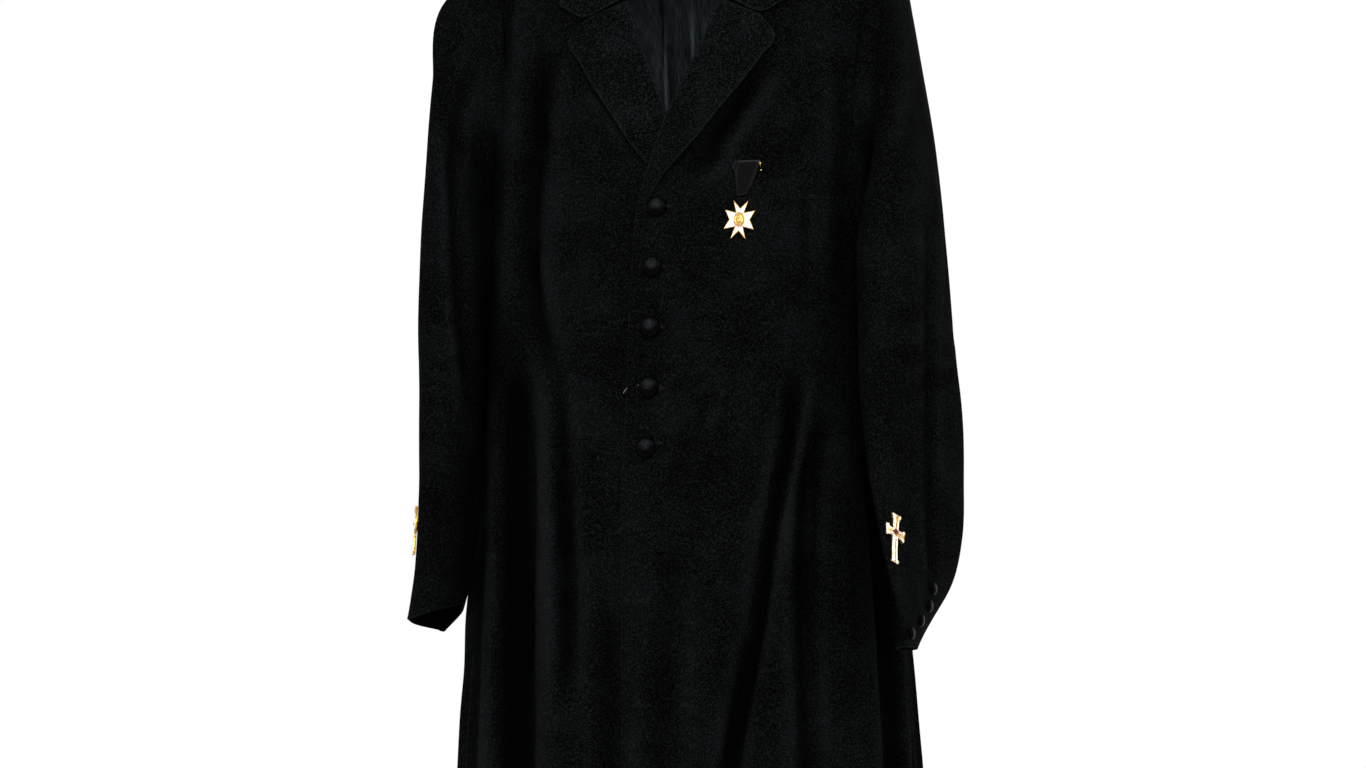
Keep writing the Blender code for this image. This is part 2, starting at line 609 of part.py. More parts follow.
def back(side):
    """Back panel from the hem to the shoulder seam, centre back first."""
    places = []
    total = SKIRT_ROWS + LOWER_ROWS + UPPER_ROWS
    break_z = blend(HEM_Z, 0.0, 0.74)
    for step in range(total + 1):
        below = step < SKIRT_ROWS
        upper = step > SKIRT_ROWS + LOWER_ROWS
        if below:
            share = step / SKIRT_ROWS
            z_in, z_out = blend(HEM_Z, waist_z(180.0), share), blend(HEM_Z, waist_z(PLEAT_ANGLE), share)
            x_out = plain_body(PLEAT_ANGLE, z_out).x
        elif not upper:
            share = (step - SKIRT_ROWS) / LOWER_ROWS
            z_in = blend(waist_z(180.0), break_z, share)
            z_out = blend(waist_z(PLEAT_ANGLE), ARMHOLE_SEAM_Z, share)
            x_out = plain_body(back_seam_angle(z_out), z_out).x
        else:
            share = (step - SKIRT_ROWS - LOWER_ROWS) / UPPER_ROWS
            z_in = blend(break_z, NECK_BACK["z"], share)
            z_out = blend(ARMHOLE_SEAM_Z, SHOULDER_TIP["z"], share)
            x_out = armhole_x(z_out, behind=True)
        row = []
        for column in range(BACK_SPANS + 1):
            across = column / BACK_SPANS
            x = x_out * across
            z = blend(z_in, z_out, across)
            if upper:
                top = neck_edge(x)[1] if x < NECK_POINT["x"] else shoulder_height(x)
                straight = blend(NECK_BACK["z"], SHOULDER_TIP["z"], across)
                z += (top - straight) * share
            angle = body_angle(x, z, behind=True) if x > 0.0 else 180.0
            row.append((side * angle, z))
        places.append(row)
    return places


def skirt(side):
    """Skirt from the hem to the waist seam, front edge first."""
    places = []
    for step in range(SKIRT_ROWS + 1):
        share = step / SKIRT_ROWS
        z_front = blend(HEM_Z, waist_z(0.0), share)
        x_in = smooth_row(FRONT_EDGE_COLUMNS, FRONT_EDGE_ROWS, "z", z_front)["x"]
        angle_in = body_angle(x_in, z_front)
        row = []
        for column in range(SKIRT_SPANS + 1):
            angle = blend(angle_in, PLEAT_ANGLE, column / SKIRT_SPANS)
            row.append((side * angle, blend(HEM_Z, waist_z(angle), share)))
        places.append(row)
    return places


# ---------------------------------------------------------------- lapels and collar
def chest_surface(side, x, z):
    """Point and normal on the front panel at a plan position; x is signed for the side."""
    angle = side * body_angle(x, z)
    return body_point(side, angle, z), body_normal(side, angle, z)


def lapel(side, hand):
    """The turned-back front edge with its facing, lying over the chest panel."""
    rows = LAPEL_ROWS[hand]
    outside = []
    inside = []
    for row in rows:
        size = dict(zip(LAPEL_COLUMNS, row))
        roll_x = smooth_row(ROLL_COLUMNS, ROLL_ROWS, "z", size["roll_z"])["x"]
        outer_row = []
        inner_row = []
        for column in range(LAPEL_SPANS + 1):
            share = column / LAPEL_SPANS
            x = blend(roll_x, size["edge_x"], share)
            z = blend(size["roll_z"], size["edge_z"], share)
            point, normal = chest_surface(side, x, z)
            rest = CLOTH + SEAM_GAP
            lift = blend(rest, size["lift_edge"], share)
            bulge = size["lift_middle"] - blend(rest, size["lift_edge"], 0.5)
            lift += 4.0 * share * (1.0 - share) * bulge
            lift = max(lift, CLOTH + LAPEL_LEAST_GAP[hand])
            outer_row.append(point + normal * lift)
            inner_row.append(point + normal * (lift - CLOTH))
        outside.append(outer_row)
        inside.append(inner_row)
    wall("lapel_" + hand, outside, inside, "lapel_wool")


def clear_of_body(point):
    """Move a collar point out until it stands clear of the panels under it."""
    x, y, z = point
    side = 1.0 if x >= 0.0 else -1.0
    top = shoulder_height(x)
    if z < top - 2.0 and y < 0.0:
        surface = plain_body(side * body_angle(abs(x), z), z).y
        return Vector((x, min(y, surface - COLLAR_CLEARANCE), z))
    if abs(x) < NECK_POINT["x"]:
        return point
    if z < top - 2.0:
        surface = plain_body(side * body_angle(abs(x), z, behind=True), z).y
        return Vector((x, max(y, surface + COLLAR_CLEARANCE), z))
    return Vector((x, y, max(z, top + COLLAR_CLEARANCE)))


def collar_section(size, side):
    """Points of the collar's seen face at one station, from the neck seam over to the edge."""
    seam = Vector((side * size["seam_x"], size["seam_y"], size["seam_z"]))
    roll = Vector((side * size["roll_x"], size["roll_y"], size["roll_z"]))
    edge = Vector((side * size["edge_x"], size["edge_y"], size["edge_z"]))
    away = (edge - roll).normalized()
    radius = COLLAR_FOLD_RADIUS
    section = [seam, blend(seam, roll, 0.5), roll - Vector((0.0, 0.0, radius))]
    section.append(roll + away * radius * 0.3 - Vector((0.0, 0.0, radius * 0.35)))
    section.append(roll + away * radius)
    for step in range(1, COLLAR_FALL_SPANS + 1):
        share = step / COLLAR_FALL_SPANS
        point = blend(roll + away * radius, edge, share)
        dip = size["dip"] * (1.0 - abs(share - 0.6) / (0.6 if share < 0.6 else 0.4))
        point.z -= dip
        section.append(clear_of_body(point))
    return section


def collar():
    """Stand and fall in one folded piece, from the left front round the neck to the right."""
    stations = [(dict(zip(COLLAR_COLUMNS, row)), 1.0) for row in COLLAR_ROWS]
    stations += [(dict(zip(COLLAR_COLUMNS, row)), -1.0) for row in reversed(COLLAR_ROWS[:-1])]
    outside = [collar_section(size, side) for size, side in stations]
    inside = []
    for index, row in enumerate(outside):
        inner_row = []
        for column, point in enumerate(row):
            before = outside[max(index - 1, 0)][column]
            after = outside[min(index + 1, len(outside) - 1)][column]
            low = row[max(column - 1, 0)]
            high = row[min(column + 1, len(row) - 1)]
            normal = (after - before).cross(high - low).normalized()
            inner_row.append(point - normal * CLOTH * 0.8)
        inside.append(inner_row)
    wall("collar", outside, inside, "lapel_wool")


# ---------------------------------------------------------------- sleeves
def armhole_places():
    """Armhole corners from the shoulder tip down the front, under the arm and up the back."""
    front = []
    hind = []
    for step in range(UPPER_ROWS, 0, -1):
        z = blend(ARMHOLE_SEAM_Z, SHOULDER_TIP["z"], step / UPPER_ROWS)
        front.append((body_angle(armhole_x(z, False), z), z))
        hind.append((body_angle(armhole_x(z, True), z, behind=True), z))
    under = []
    for column in range(SIDEBODY_SPANS + 1):
        angle = blend(FRONT_SEAM_ANGLE, 180.0 - FRONT_SEAM_ANGLE, column / SIDEBODY_SPANS)
        under.append((angle, underarm_z(angle)))
    return front + under + list(reversed(hind[1:]))


def armhole_ring(side):
    """Points on the armhole, the body's normals there, and each point's turn round the sleeve."""
    places = armhole_places()
    points = [body_point(side, side * angle, z) for angle, z in places]
    points[0] = plain_body(side * places[0][0], places[0][1])
    normals = [body_normal(side, side * angle, z) for angle, z in places]
    normals[0] = shoulder_normal(side)
    bottom = UPPER_ROWS + SIDEBODY_SPANS // 2
    lengths = [0.0]
    for index in range(1, len(points) + 1):
        step = (points[index % len(points)] - points[index - 1]).length
        lengths.append(lengths[-1] + step)
    turns = []
    for index in range(len(points)):
        if index <= bottom:
            turns.append(180.0 * lengths[index] / lengths[bottom])
        else:
            rest = (lengths[index] - lengths[bottom]) / (lengths[-1] - lengths[bottom])
            turns.append(180.0 + 180.0 * rest)
    return points, normals, turns


def sleeve_fold(side, angle, ring):
    """How far the long fold sinks the outer face of a sleeve."""
    if side != SLEEVE_FOLD["side"]:
        return 0.0
    away = (angle - SLEEVE_FOLD["angle"] + 180.0) % 360.0 - 180.0
    grow = soft_step((ring - SLEEVE_FOLD["first_ring"])
                     / (SLEEVE_FOLD["full_ring"] - SLEEVE_FOLD["first_ring"]))
    fade = soft_step((SLEEVE_FOLD["last_ring"] - ring)
                     / (SLEEVE_FOLD["last_ring"] - SLEEVE_FOLD["fading_ring"]))
    return SLEEVE_FOLD["deep"] * grow * fade * soft_step(1.0 - abs(away) / SLEEVE_FOLD["half_angle"])


def cuff_point(side, angle, ring):
    """How much lower a cuff hangs towards its hind seam."""
    if side != CUFF_POINT["side"]:
        return 0.0
    last = len(SLEEVE_ROWS["right"])
    away = abs((angle - CUFF_POINT["angle"] + 180.0) % 360.0 - 180.0)
    grow = soft_step((ring - CUFF_POINT["first_ring"]) / (last - CUFF_POINT["first_ring"]))
    return CUFF_POINT["deep"] * grow * max(1.0 - away / CUFF_POINT["half_angle"], 0.0)


def sleeve_point(side, angle, ring):
    """Outside of the sleeve at an angle round it and a place down its rings, which count from 1."""
    rows = SLEEVE_ROWS["left" if side > 0 else "right"]
    counted = [(float(index + 1), *row) for index, row in enumerate(rows)]
    size = smooth_row(("ring", *SLEEVE_COLUMNS), counted, "ring", ring)
    turn = math.radians(size["turn"])
    middle = Vector(((size["out_x"] + size["in_x"]) / 2.0, size["y"], (size["out_z"] + size["in_z"]) / 2.0))
    half_x = (size["out_x"] - size["in_x"]) / 2.0
    half_z = (size["out_z"] - size["in_z"]) / 2.0
    outward = Vector((half_x * math.cos(turn), -half_x * math.sin(turn), half_z))
    pitch = math.tan(math.radians(size["pitch"]))
    forward = Vector((-math.sin(turn), -math.cos(turn), pitch)) * size["depth"]
    cosine = math.cos(math.radians(angle))
    sine = math.sin(math.radians(angle))
    power = 2.0 / size["fore_square" if sine > 0.0 else "hind_square"]
    point = middle + outward * math.copysign(abs(cosine) ** power, cosine)
    point += forward * math.copysign(abs(sine) ** power, sine)
    point -= outward.normalized() * sleeve_fold(side, angle, ring)
    point.z -= cuff_point(side, angle, ring)
    return Vector((side * point.x, point.y, point.z))


def sleeve_normal(side, angle, ring):
    last = len(SLEEVE_ROWS["left"])
    low, high = max(ring - RING_STEP, 1.0), min(ring + RING_STEP, float(last))
    along = sleeve_point(side, angle, high) - sleeve_point(side, angle, low)
    across = sleeve_point(side, angle + 1.0, ring) - sleeve_point(side, angle - 1.0, ring)
    return across.cross(along).normalized() * side


def sleeve(side, hand):
    """Rings of the whole sleeve, then its two pieces cut from them at the front and hind seams."""
    start, body_normals, turns = armhole_ring(side)
    count = len(start)
    rings = [start]
    normals = [[]]
    for ring in range(1, len(SLEEVE_ROWS[hand]) + 1):
        rings.append([sleeve_point(side, angle, float(ring)) for angle in turns])
        normals.append([sleeve_normal(side, angle, float(ring)) for angle in turns])
    first = []
    for index, point in enumerate(start):
        tangent = start[(index + 1) % count] - start[index - 1]
        away = body_normals[index].cross(tangent).normalized() * side
        first.append(point + away * SEAM_GAP / 2.0)
        normal = tangent.cross(rings[1][index] - point).normalized() * side
        inward = -normal
        if inward.dot(away) < 0.0:
            inward = (inward - away * inward.dot(away)).normalized()
        normals[0].append(-inward)
    rings[0] = first
    seams = {}
    for seam, angle in (("front", FRONT_SLEEVE_SEAM), ("hind", HIND_SLEEVE_SEAM)):
        seams[seam] = min(range(count), key=lambda index: abs(turns[index] - angle))
    top = [index % count for index in range(seams["hind"], seams["front"] + count + 1)]
    under = list(range(seams["front"], seams["hind"] + 1))
    for name, picked in (("topsleeve_", top), ("undersleeve_", under)):
        outside = trim([[ring[index] for index in picked] for ring in rings],
                       ("first_column", "last_column"))
        inside = []
        for row, ring_normals in zip(outside, normals):
            inside.append([p - ring_normals[index] * CLOTH for p, index in zip(row, picked)])
        wall(name + hand, outside, inside, "wool")


# ---------------------------------------------------------------- buttons, crosses and badge
def dome(name, place, normal, across, high, sides):
    """A covered button: a flat back, a low side and a domed face along the given normal."""
    radius = across / 2.0
    turn = normal.to_track_quat("Z", "Y")
    points = [place]
    for out, up in BUTTON_PROFILE:
        for side in range(sides):
            angle = math.tau * side / sides
            around = Vector((math.cos(angle), math.sin(angle), 0.0)) * radius * out
            points.append(turn @ (around + Vector((0.0, 0.0, high * up))) + place)
    points.append(turn @ Vector((0.0, 0.0, high)) + place)
    faces = []
    rings = len(BUTTON_PROFILE)
    for side in range(sides):
        after = (side + 1) % sides
        faces.append((0, 1 + after, 1 + side))
        for ring in range(rings - 1):
            low = 1 + ring * sides
            high_ring = low + sides
            faces.append((low + side, low + after, high_ring + after, high_ring + side))
        last = 1 + (rings - 1) * sides
        faces.append((last + side, last + after, len(points) - 1))
    return new_object(name, mesh_of(name, points, faces), "covered_button", 0.8)


def front_buttons():
    for number in range(BUTTON_COUNT):
        z = BUTTON_TOP_Z - BUTTON_STEP * number
        point, normal = chest_surface(1, 0.0, z)
        place = point + normal * BUTTON_SHANK_GAPS[number]
        dome("front_button_" + str(number + 1), place, normal, BUTTON_ACROSS, BUTTON_HIGH, BUTTON_SIDES)


def waist_buttons():
    for side, hand in ((1, "left"), (-1, "right")):
        angle, z = side * PLEAT_ANGLE, waist_z(PLEAT_ANGLE) + WAIST_BUTTON["above_seam"]
        normal = body_normal(side, angle, z)
        place = body_point(side, angle, z) + normal * WAIST_BUTTON["gap"]
        dome("waist_button_" + hand, place, normal, BUTTON_ACROSS, BUTTON_HIGH, BUTTON_SIDES)


def cuff_buttons():
    for side, hand in ((1, "left"), (-1, "right")):
        for number, (ring, angle, gap) in enumerate(CUFF_BUTTON_PLACES[hand]):
            normal = sleeve_normal(side, angle, ring)
            place = sleeve_point(side, angle, ring) + normal * gap
            dome("cuff_button_" + hand + "_" + str(number + 1), place, normal,
                 CUFF_BUTTON_ACROSS, CUFF_BUTTON_HIGH, CUFF_BUTTON_SIDES)


def cross_plan():
    """Latin cross with flared ends: corner points by row of the plan, and the quads between them."""
    half = SLEEVE_CROSS["bar"] / 2.0
    swell = half * SLEEVE_CROSS["turn_swell"]
    flare = SLEEVE_CROSS["flare"] / 2.0
    top = SLEEVE_CROSS["high"] * SLEEVE_CROSS["top_share"]
    foot = top - SLEEVE_CROSS["high"]
    arm = SLEEVE_CROSS["wide"] / 2.0
    corners = []
    quads = []

    def add(x, z):
        for index, place in enumerate(corners):
            if abs(place[0] - x) + abs(place[1] - z) < 1e-6:
                return index
        corners.append((x, z))
        return len(corners) - 1

    def strip(stations, upright):
        for low, high in zip(stations[:-1], stations[1:]):
            for left, right in ((-1.0, 0.0), (0.0, 1.0)):
                quad = []
                for along, wide, share in ((low[0], low[1], left), (low[0], low[1], right),
                                           (high[0], high[1], right), (high[0], high[1], left)):
                    quad.append(add(wide * share, along) if upright else add(along, wide * share))
                quads.append(quad)

    up = [(half, half), (top * SLEEVE_CROSS["top_turn"], half), (top, flare)]
    down = [(foot, flare), (foot * SLEEVE_CROSS["foot_turn"], swell),
            (foot * SLEEVE_CROSS["foot_middle"], half), (-half, half)]
    right = [(half, half), (arm * SLEEVE_CROSS["arm_turn"], swell), (arm, flare)]
    strip(up, True)
    strip(down, True)
    strip([(-half, half), (0.0, half), (half, half)], True)
    strip(right, False)
    strip([(-along, wide) for along, wide in right], False)
    return corners, quads


def sleeve_crosses():
    corners, quads = cross_plan()
    for side, hand in ((1, "left"), (-1, "right")):
        place = SLEEVE_CROSS_PLACE[hand]
        middle = sleeve_point(side, place["angle"], place["ring"])
        rings_down, degrees_across = 0.5, -4.0
        down = sleeve_point(side, place["angle"], place["ring"] + rings_down) - middle
        across = sleeve_point(side, place["angle"] + degrees_across, place["ring"]) - middle
        ring_step = rings_down / down.length
        angle_step = degrees_across / across.length
        roll = math.radians(place["roll"])
        faces = []
        outer = []
        inner = []
        for plan_x, plan_z in corners:
            x = plan_x * math.cos(roll) + plan_z * math.sin(roll)
            z = plan_z * math.cos(roll) - plan_x * math.sin(roll)
            angle = place["angle"] + side * x * angle_step
            ring = place["ring"] - z * ring_step
            point = sleeve_point(side, angle, ring)
            normal = sleeve_normal(side, angle, ring)
            inner.append(point + normal * SLEEVE_CROSS["seat"])
            outer.append(point + normal * (SLEEVE_CROSS["seat"] + SLEEVE_CROSS["thick"]))
        count = len(corners)
        edges = {}
        for quad in quads:
            faces.append(tuple(quad))
            faces.append(tuple(count + index for index in reversed(quad)))
            for a, b in zip(quad, quad[1:] + quad[:1]):
                edge = (min(a, b), max(a, b))
                edges[edge] = edges.get(edge, 0) + 1
        for (a, b), uses in edges.items():
            if uses == 1:
                faces.append((b, a, count + a, count + b))
        new_object("sleeve_cross_" + hand, mesh_of("sleeve_cross_" + hand, outer + inner, faces),
                   "bullion", 0.5, 0.3)


def chest_strip(name, levels, thick, colour):
    """A flat strip lying on the left chest; levels holds the middle, half width and height of each row."""
    outside = []
    inside = []
    for middle, half, z in levels:
        front = []
        behind = []
        for share in ACROSS:
            point, normal = chest_surface(1, middle + half * share, z)
            front.append(point + normal * (BADGE["seat"] + thick))
            behind.append(point + normal * BADGE["seat"])
        outside.append(front)
        inside.append(behind)
    wall(name, outside, inside, colour)


def badge_ribbon():
    levels = []
    steps = 4
    for step in range(steps + 1):
        share = step / steps
        half = blend(BADGE["ribbon_wide"], BADGE["ribbon_foot"], share) / 2.0
        z = BADGE["ribbon_z"] - BADGE["ribbon_high"] * share
        levels.append((BADGE["x"] - BADGE["ribbon_lean"] * share, half, z))
    chest_strip("badge_ribbon", levels, BADGE["ribbon"], "ribbon")


def badge_pin():
    foot = BADGE["ribbon_z"] + BADGE["pin_above"]
    levels = [(BADGE["x"], BADGE["pin_wide"] / 2.0, z) for z in (foot, foot + BADGE["pin_high"])]
    chest_strip("badge_pin", levels, BADGE["pin_thick"], "gilt")


def badge_cross():
    """A plate with eight points, four arms of two each, and a plain boss on its middle."""
    centre, normal = chest_surface(1, BADGE["cross_x"], BADGE["cross_z"])
    turn = normal.to_track_quat("Z", "Y")
    rim = []
    for quarter in range(4):
        for off, reach in BADGE_ARM:
            angle = math.radians(90.0 * quarter + off)
            x = BADGE["cross_wide"] / 2.0 * reach * math.cos(angle)
            rim.append((x, BADGE["cross_high"] / 2.0 * reach * math.sin(angle)))
    count = len(rim)
    points = []
    for lift in (BADGE["cross_seat"], BADGE["cross_seat"] + BADGE["thick"]):
        points += [turn @ Vector((x, y, lift)) + centre for x, y in rim]
        points.append(turn @ Vector((0.0, 0.0, lift)) + centre)
    faces = []
    for index in range(count):
        after = (index + 1) % count
        faces.append((count, after, index))
        faces.append((2 * count + 1, count + 1 + index, count + 1 + after))
        faces.append((index, after, count + 1 + after, count + 1 + index))
    new_object("badge_cross", mesh_of("badge_cross", points, faces), "enamel", 0.25)
    lift = BADGE["cross_seat"] + BADGE["thick"] + SEAM_GAP
    dome("badge_boss", centre + normal * lift, normal, BADGE["boss_wide"], BADGE["boss_high"],
         CUFF_BUTTON_SIDES)


def between(grid, row, column):
    """A point of a grid at fractions of its rows and columns."""
    low_row = min(int(row), len(grid) - 2)
    low_column = min(int(column), len(grid[0]) - 2)
    low = blend(grid[low_row][low_column], grid[low_row][low_column + 1], column - low_column)
    high = blend(grid[low_row + 1][low_column], grid[low_row + 1][low_column + 1], column - low_column)
    return blend(low, high, row - low_row)


def back_lining():
    """Sateen lining of the back from the neck to the waist seam, lying against both panels."""
    faces = {}
    for side, hand in ((1, "left"), (-1, "right")):
        outside, inside = panel_faces(side, back(side), top_is_seam=True)
        faces[hand] = (outside[SKIRT_ROWS:], inside[SKIRT_ROWS:])
    top = len(faces["left"][0]) - 1
    levels = [LINING_FOOT, *range(1, top), top - 1 + LINING_TOP]
    behind = []
    front = []
    for level in levels:
        row = []
        for hand in ("right", "left"):
            outside, inside = faces[hand]
            half = []
            for across in LINING_ACROSS[hand]:
                seat = between(inside, level, across)
                inward = (seat - between(outside, level, across)).normalized()
                gap = LINING_GAP
                if hand == "right" and LINING_PLEAT["from"] <= across <= LINING_PLEAT["to"]:
                    gap += LINING_PLEAT["high"]
                half.append((seat + inward * gap, seat + inward * (gap + LINING)))
            row += list(reversed(half)) if hand == "right" else half[1:]
        behind.append([pair[0] for pair in row])
        front.append([pair[1] for pair in row])
    wall("back_lining", front, behind, "sateen")


# ---------------------------------------------------------------- the coat
for side, hand in ((1, "left"), (-1, "right")):
    body_wall("forepart_" + hand, side, forepart(side), top_is_seam=True)
    body_wall("sidebody_" + hand, side, sidebody(side))
    body_wall("back_" + hand, side, back(side), top_is_seam=True)
    body_wall("skirt_" + hand, side, skirt(side))
    lapel(side, hand)
    sleeve(side, hand)
collar()
back_lining()
front_buttons()
waist_buttons()
cuff_buttons()
sleeve_crosses()
badge_ribbon()
badge_pin()
badge_cross()
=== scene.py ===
import math

import bmesh
import bpy
import numpy as np
from mathutils import Matrix, Vector
from mathutils.bvhtree import BVHTree


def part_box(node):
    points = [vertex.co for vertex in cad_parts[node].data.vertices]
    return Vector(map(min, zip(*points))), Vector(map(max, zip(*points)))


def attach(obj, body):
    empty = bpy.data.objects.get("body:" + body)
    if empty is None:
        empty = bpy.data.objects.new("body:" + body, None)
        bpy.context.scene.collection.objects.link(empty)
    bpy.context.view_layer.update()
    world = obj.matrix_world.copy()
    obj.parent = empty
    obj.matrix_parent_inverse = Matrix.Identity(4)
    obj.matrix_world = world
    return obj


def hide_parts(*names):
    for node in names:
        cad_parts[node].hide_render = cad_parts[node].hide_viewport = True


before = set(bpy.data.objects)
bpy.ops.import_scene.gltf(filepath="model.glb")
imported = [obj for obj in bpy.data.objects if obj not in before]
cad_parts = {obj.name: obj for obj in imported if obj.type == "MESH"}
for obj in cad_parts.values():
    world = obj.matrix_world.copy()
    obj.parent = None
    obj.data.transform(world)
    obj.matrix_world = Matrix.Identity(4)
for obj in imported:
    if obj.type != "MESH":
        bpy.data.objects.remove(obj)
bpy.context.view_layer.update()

MM = 0.001


# ------------------------------------------------------------------ camera, light and floor
# The coat is looked at level, from a little to the wearer's left of its front. Large soft lights
# stand round it, and the pale floor lies under it where its wearer's feet would be.
VIEW_AZIMUTH = 17.5
VIEW_DISTANCE = 3.2
VIEW_WIDTH = 1.366
VIEW_TARGET = (-0.0057, -0.0018, -0.464)
SENSOR = 36.0
LIGHTS_AIM = (0.0, 0.0, -0.5)
FLOOR_Z = -1.50
FLOOR_SIZE = 7.0


def srgb(code):
    """A linear colour from an sRGB hex value."""
    channels = [int(code[place:place + 2], 16) / 255.0 for place in (1, 3, 5)]
    linear = [c / 12.92 if c <= 0.04045 else ((c + 0.055) / 1.055) ** 2.4 for c in channels]
    return (*linear, 1.0)


def add(tree, kind, settings=None, links=None):
    """One node with its settings, input values and incoming links; a link comes from a socket."""
    node = tree.nodes.new(kind)
    for name, value in (settings or {}).items():
        if isinstance(name, str) and hasattr(node, name):
            setattr(node, name, value)
        else:
            node.inputs[name].default_value = value
    for name, source in (links or {}).items():
        tree.links.new(source, node.inputs[name])
    return node


def new_material(name):
    """An empty material with its output; returns the material, its tree and the output node."""
    material = bpy.data.materials.new(name)
    material.use_nodes = True
    material.node_tree.nodes.clear()
    output = add(material.node_tree, "ShaderNodeOutputMaterial")
    return material, material.node_tree, output


def in_scene(name, data):
    """A new object of its data, in the scene."""
    made = bpy.data.objects.new(name, data)
    bpy.context.scene.collection.objects.link(made)
    return made


def studio():
    """Camera, white surroundings, four soft lights and the floor."""
    camera_data = bpy.data.cameras.new("view_camera")
    camera = in_scene("view_camera", camera_data)
    bpy.context.scene.camera = camera
    angle = math.radians(VIEW_AZIMUTH)
    away = Vector((math.sin(angle), -math.cos(angle), 0.0))
    camera.location = Vector(VIEW_TARGET) + away * VIEW_DISTANCE
    camera.rotation_euler = (-away).to_track_quat("-Z", "Y").to_euler()
    camera_data.sensor_width = SENSOR
    camera_data.lens = SENSOR * VIEW_DISTANCE / VIEW_WIDTH
    camera_data.clip_end = 50.0

    world = bpy.data.worlds.new("white_studio")
    bpy.context.scene.world = world
    world.use_nodes = True
    background = world.node_tree.nodes["Background"]
    background.inputs["Color"].default_value = srgb("#FFFFFF")
    background.inputs["Strength"].default_value = 1.0
    bpy.context.scene.view_settings.view_transform = "Standard"

    lights = (
        ("key_light", (1.3, -2.9, 1.9), 1.3, 84.0),
        ("side_light", (2.8, -1.0, 1.2), 1.4, 24.0),
        ("fill_light", (-2.8, -1.7, 0.8), 1.6, 22.0),
        ("back_light", (-0.6, 3.0, 1.2), 1.6, 60.0),
    )
    for name, place, size, power in lights:
        light = bpy.data.lights.new(name, "AREA")
        light.size = size
        light.energy = power
        lamp = in_scene(name, light)
        lamp.location = place
        lamp.rotation_euler = (Vector(LIGHTS_AIM) - Vector(place)).to_track_quat("-Z", "Y").to_euler()

    bpy.ops.mesh.primitive_plane_add(size=FLOOR_SIZE, location=(0.0, 0.0, FLOOR_Z))
    floor = bpy.context.object
    floor.name = "studio_floor"
    material, tree, output = new_material("painted_floor")
    surface = add(tree, "ShaderNodeBsdfPrincipled", {"Base Color": srgb("#F2F1EE"), "Roughness": 0.9})
    tree.links.new(surface.outputs[0], output.inputs["Surface"])
    floor.data.materials.append(material)


studio()


# ------------------------------------------------------------------ wool of the body
# Black milled wool, woven as a fine twill and then fulled and cropped, so that a short dull nap
# hides most of the weave. The panels are cut to shape, pressed, and joined by hidden seams.
TWILL_PITCH = 1.6 * MM
TWILL_SLANT = 52.0
NAP_GRAIN = 1.7 * MM
CLOUD_SCALE = 17.0
FLOAT_WIDTH = 0.8 * MM
# The width of one band of the wave texture at a scale of 1, in metres.
WAVE_BAND = 0.31416


def noise(tree, vector, scale, detail, roughness=0.5):
    """Soft specks: how strong they are at each place."""
    return add(tree, "ShaderNodeTexNoise", {"Scale": scale, "Detail": detail, "Roughness": roughness},
               {"Vector": vector}).outputs["Fac"]


def spread(tree, value, low, high, least=0.0, most=1.0):
    """A value's range from low to high, spread from least to most."""
    limits = {"From Min": low, "From Max": high, "To Min": least, "To Max": most}
    return add(tree, "ShaderNodeMapRange", limits, {"Value": value}).outputs[0]


def reckon(tree, operation, *terms, clamp=False):
    """Arithmetic on sockets and numbers."""
    numbers = {place: term for place, term in enumerate(terms) if isinstance(term, float)}
    sockets = {place: term for place, term in enumerate(terms) if not isinstance(term, float)}
    settings = {"operation": operation, "use_clamp": clamp, **numbers}
    return add(tree, "ShaderNodeMath", settings, sockets).outputs[0]


def tint(tree, share, dark, light):
    """A colour from one sRGB hex value to another by a share from 0 to 1."""
    colours = {"data_type": "RGBA", 6: srgb(dark), 7: srgb(light)}
    return add(tree, "ShaderNodeMix", colours, {"Factor": share}).outputs[2]


def painted(tree, name):
    """The value that a piece's points hold under a name."""
    return add(tree, "ShaderNodeAttribute", {"attribute_name": name}).outputs["Fac"]


def clad(tree, output, colour, height, bump, settings, more=None):
    """Links a surface to the output, with bump = (strength, depth in millimetres) from a height."""
    strength, depth = bump
    relief = add(tree, "ShaderNodeBump", {"Strength": strength, "Distance": depth * MM}, {"Height": height})
    links = {"Base Color": colour, "Normal": relief.outputs["Normal"], **(more or {})}
    surface = add(tree, "ShaderNodeBsdfPrincipled", settings, links)
    tree.links.new(surface.outputs[0], output.inputs["Surface"])


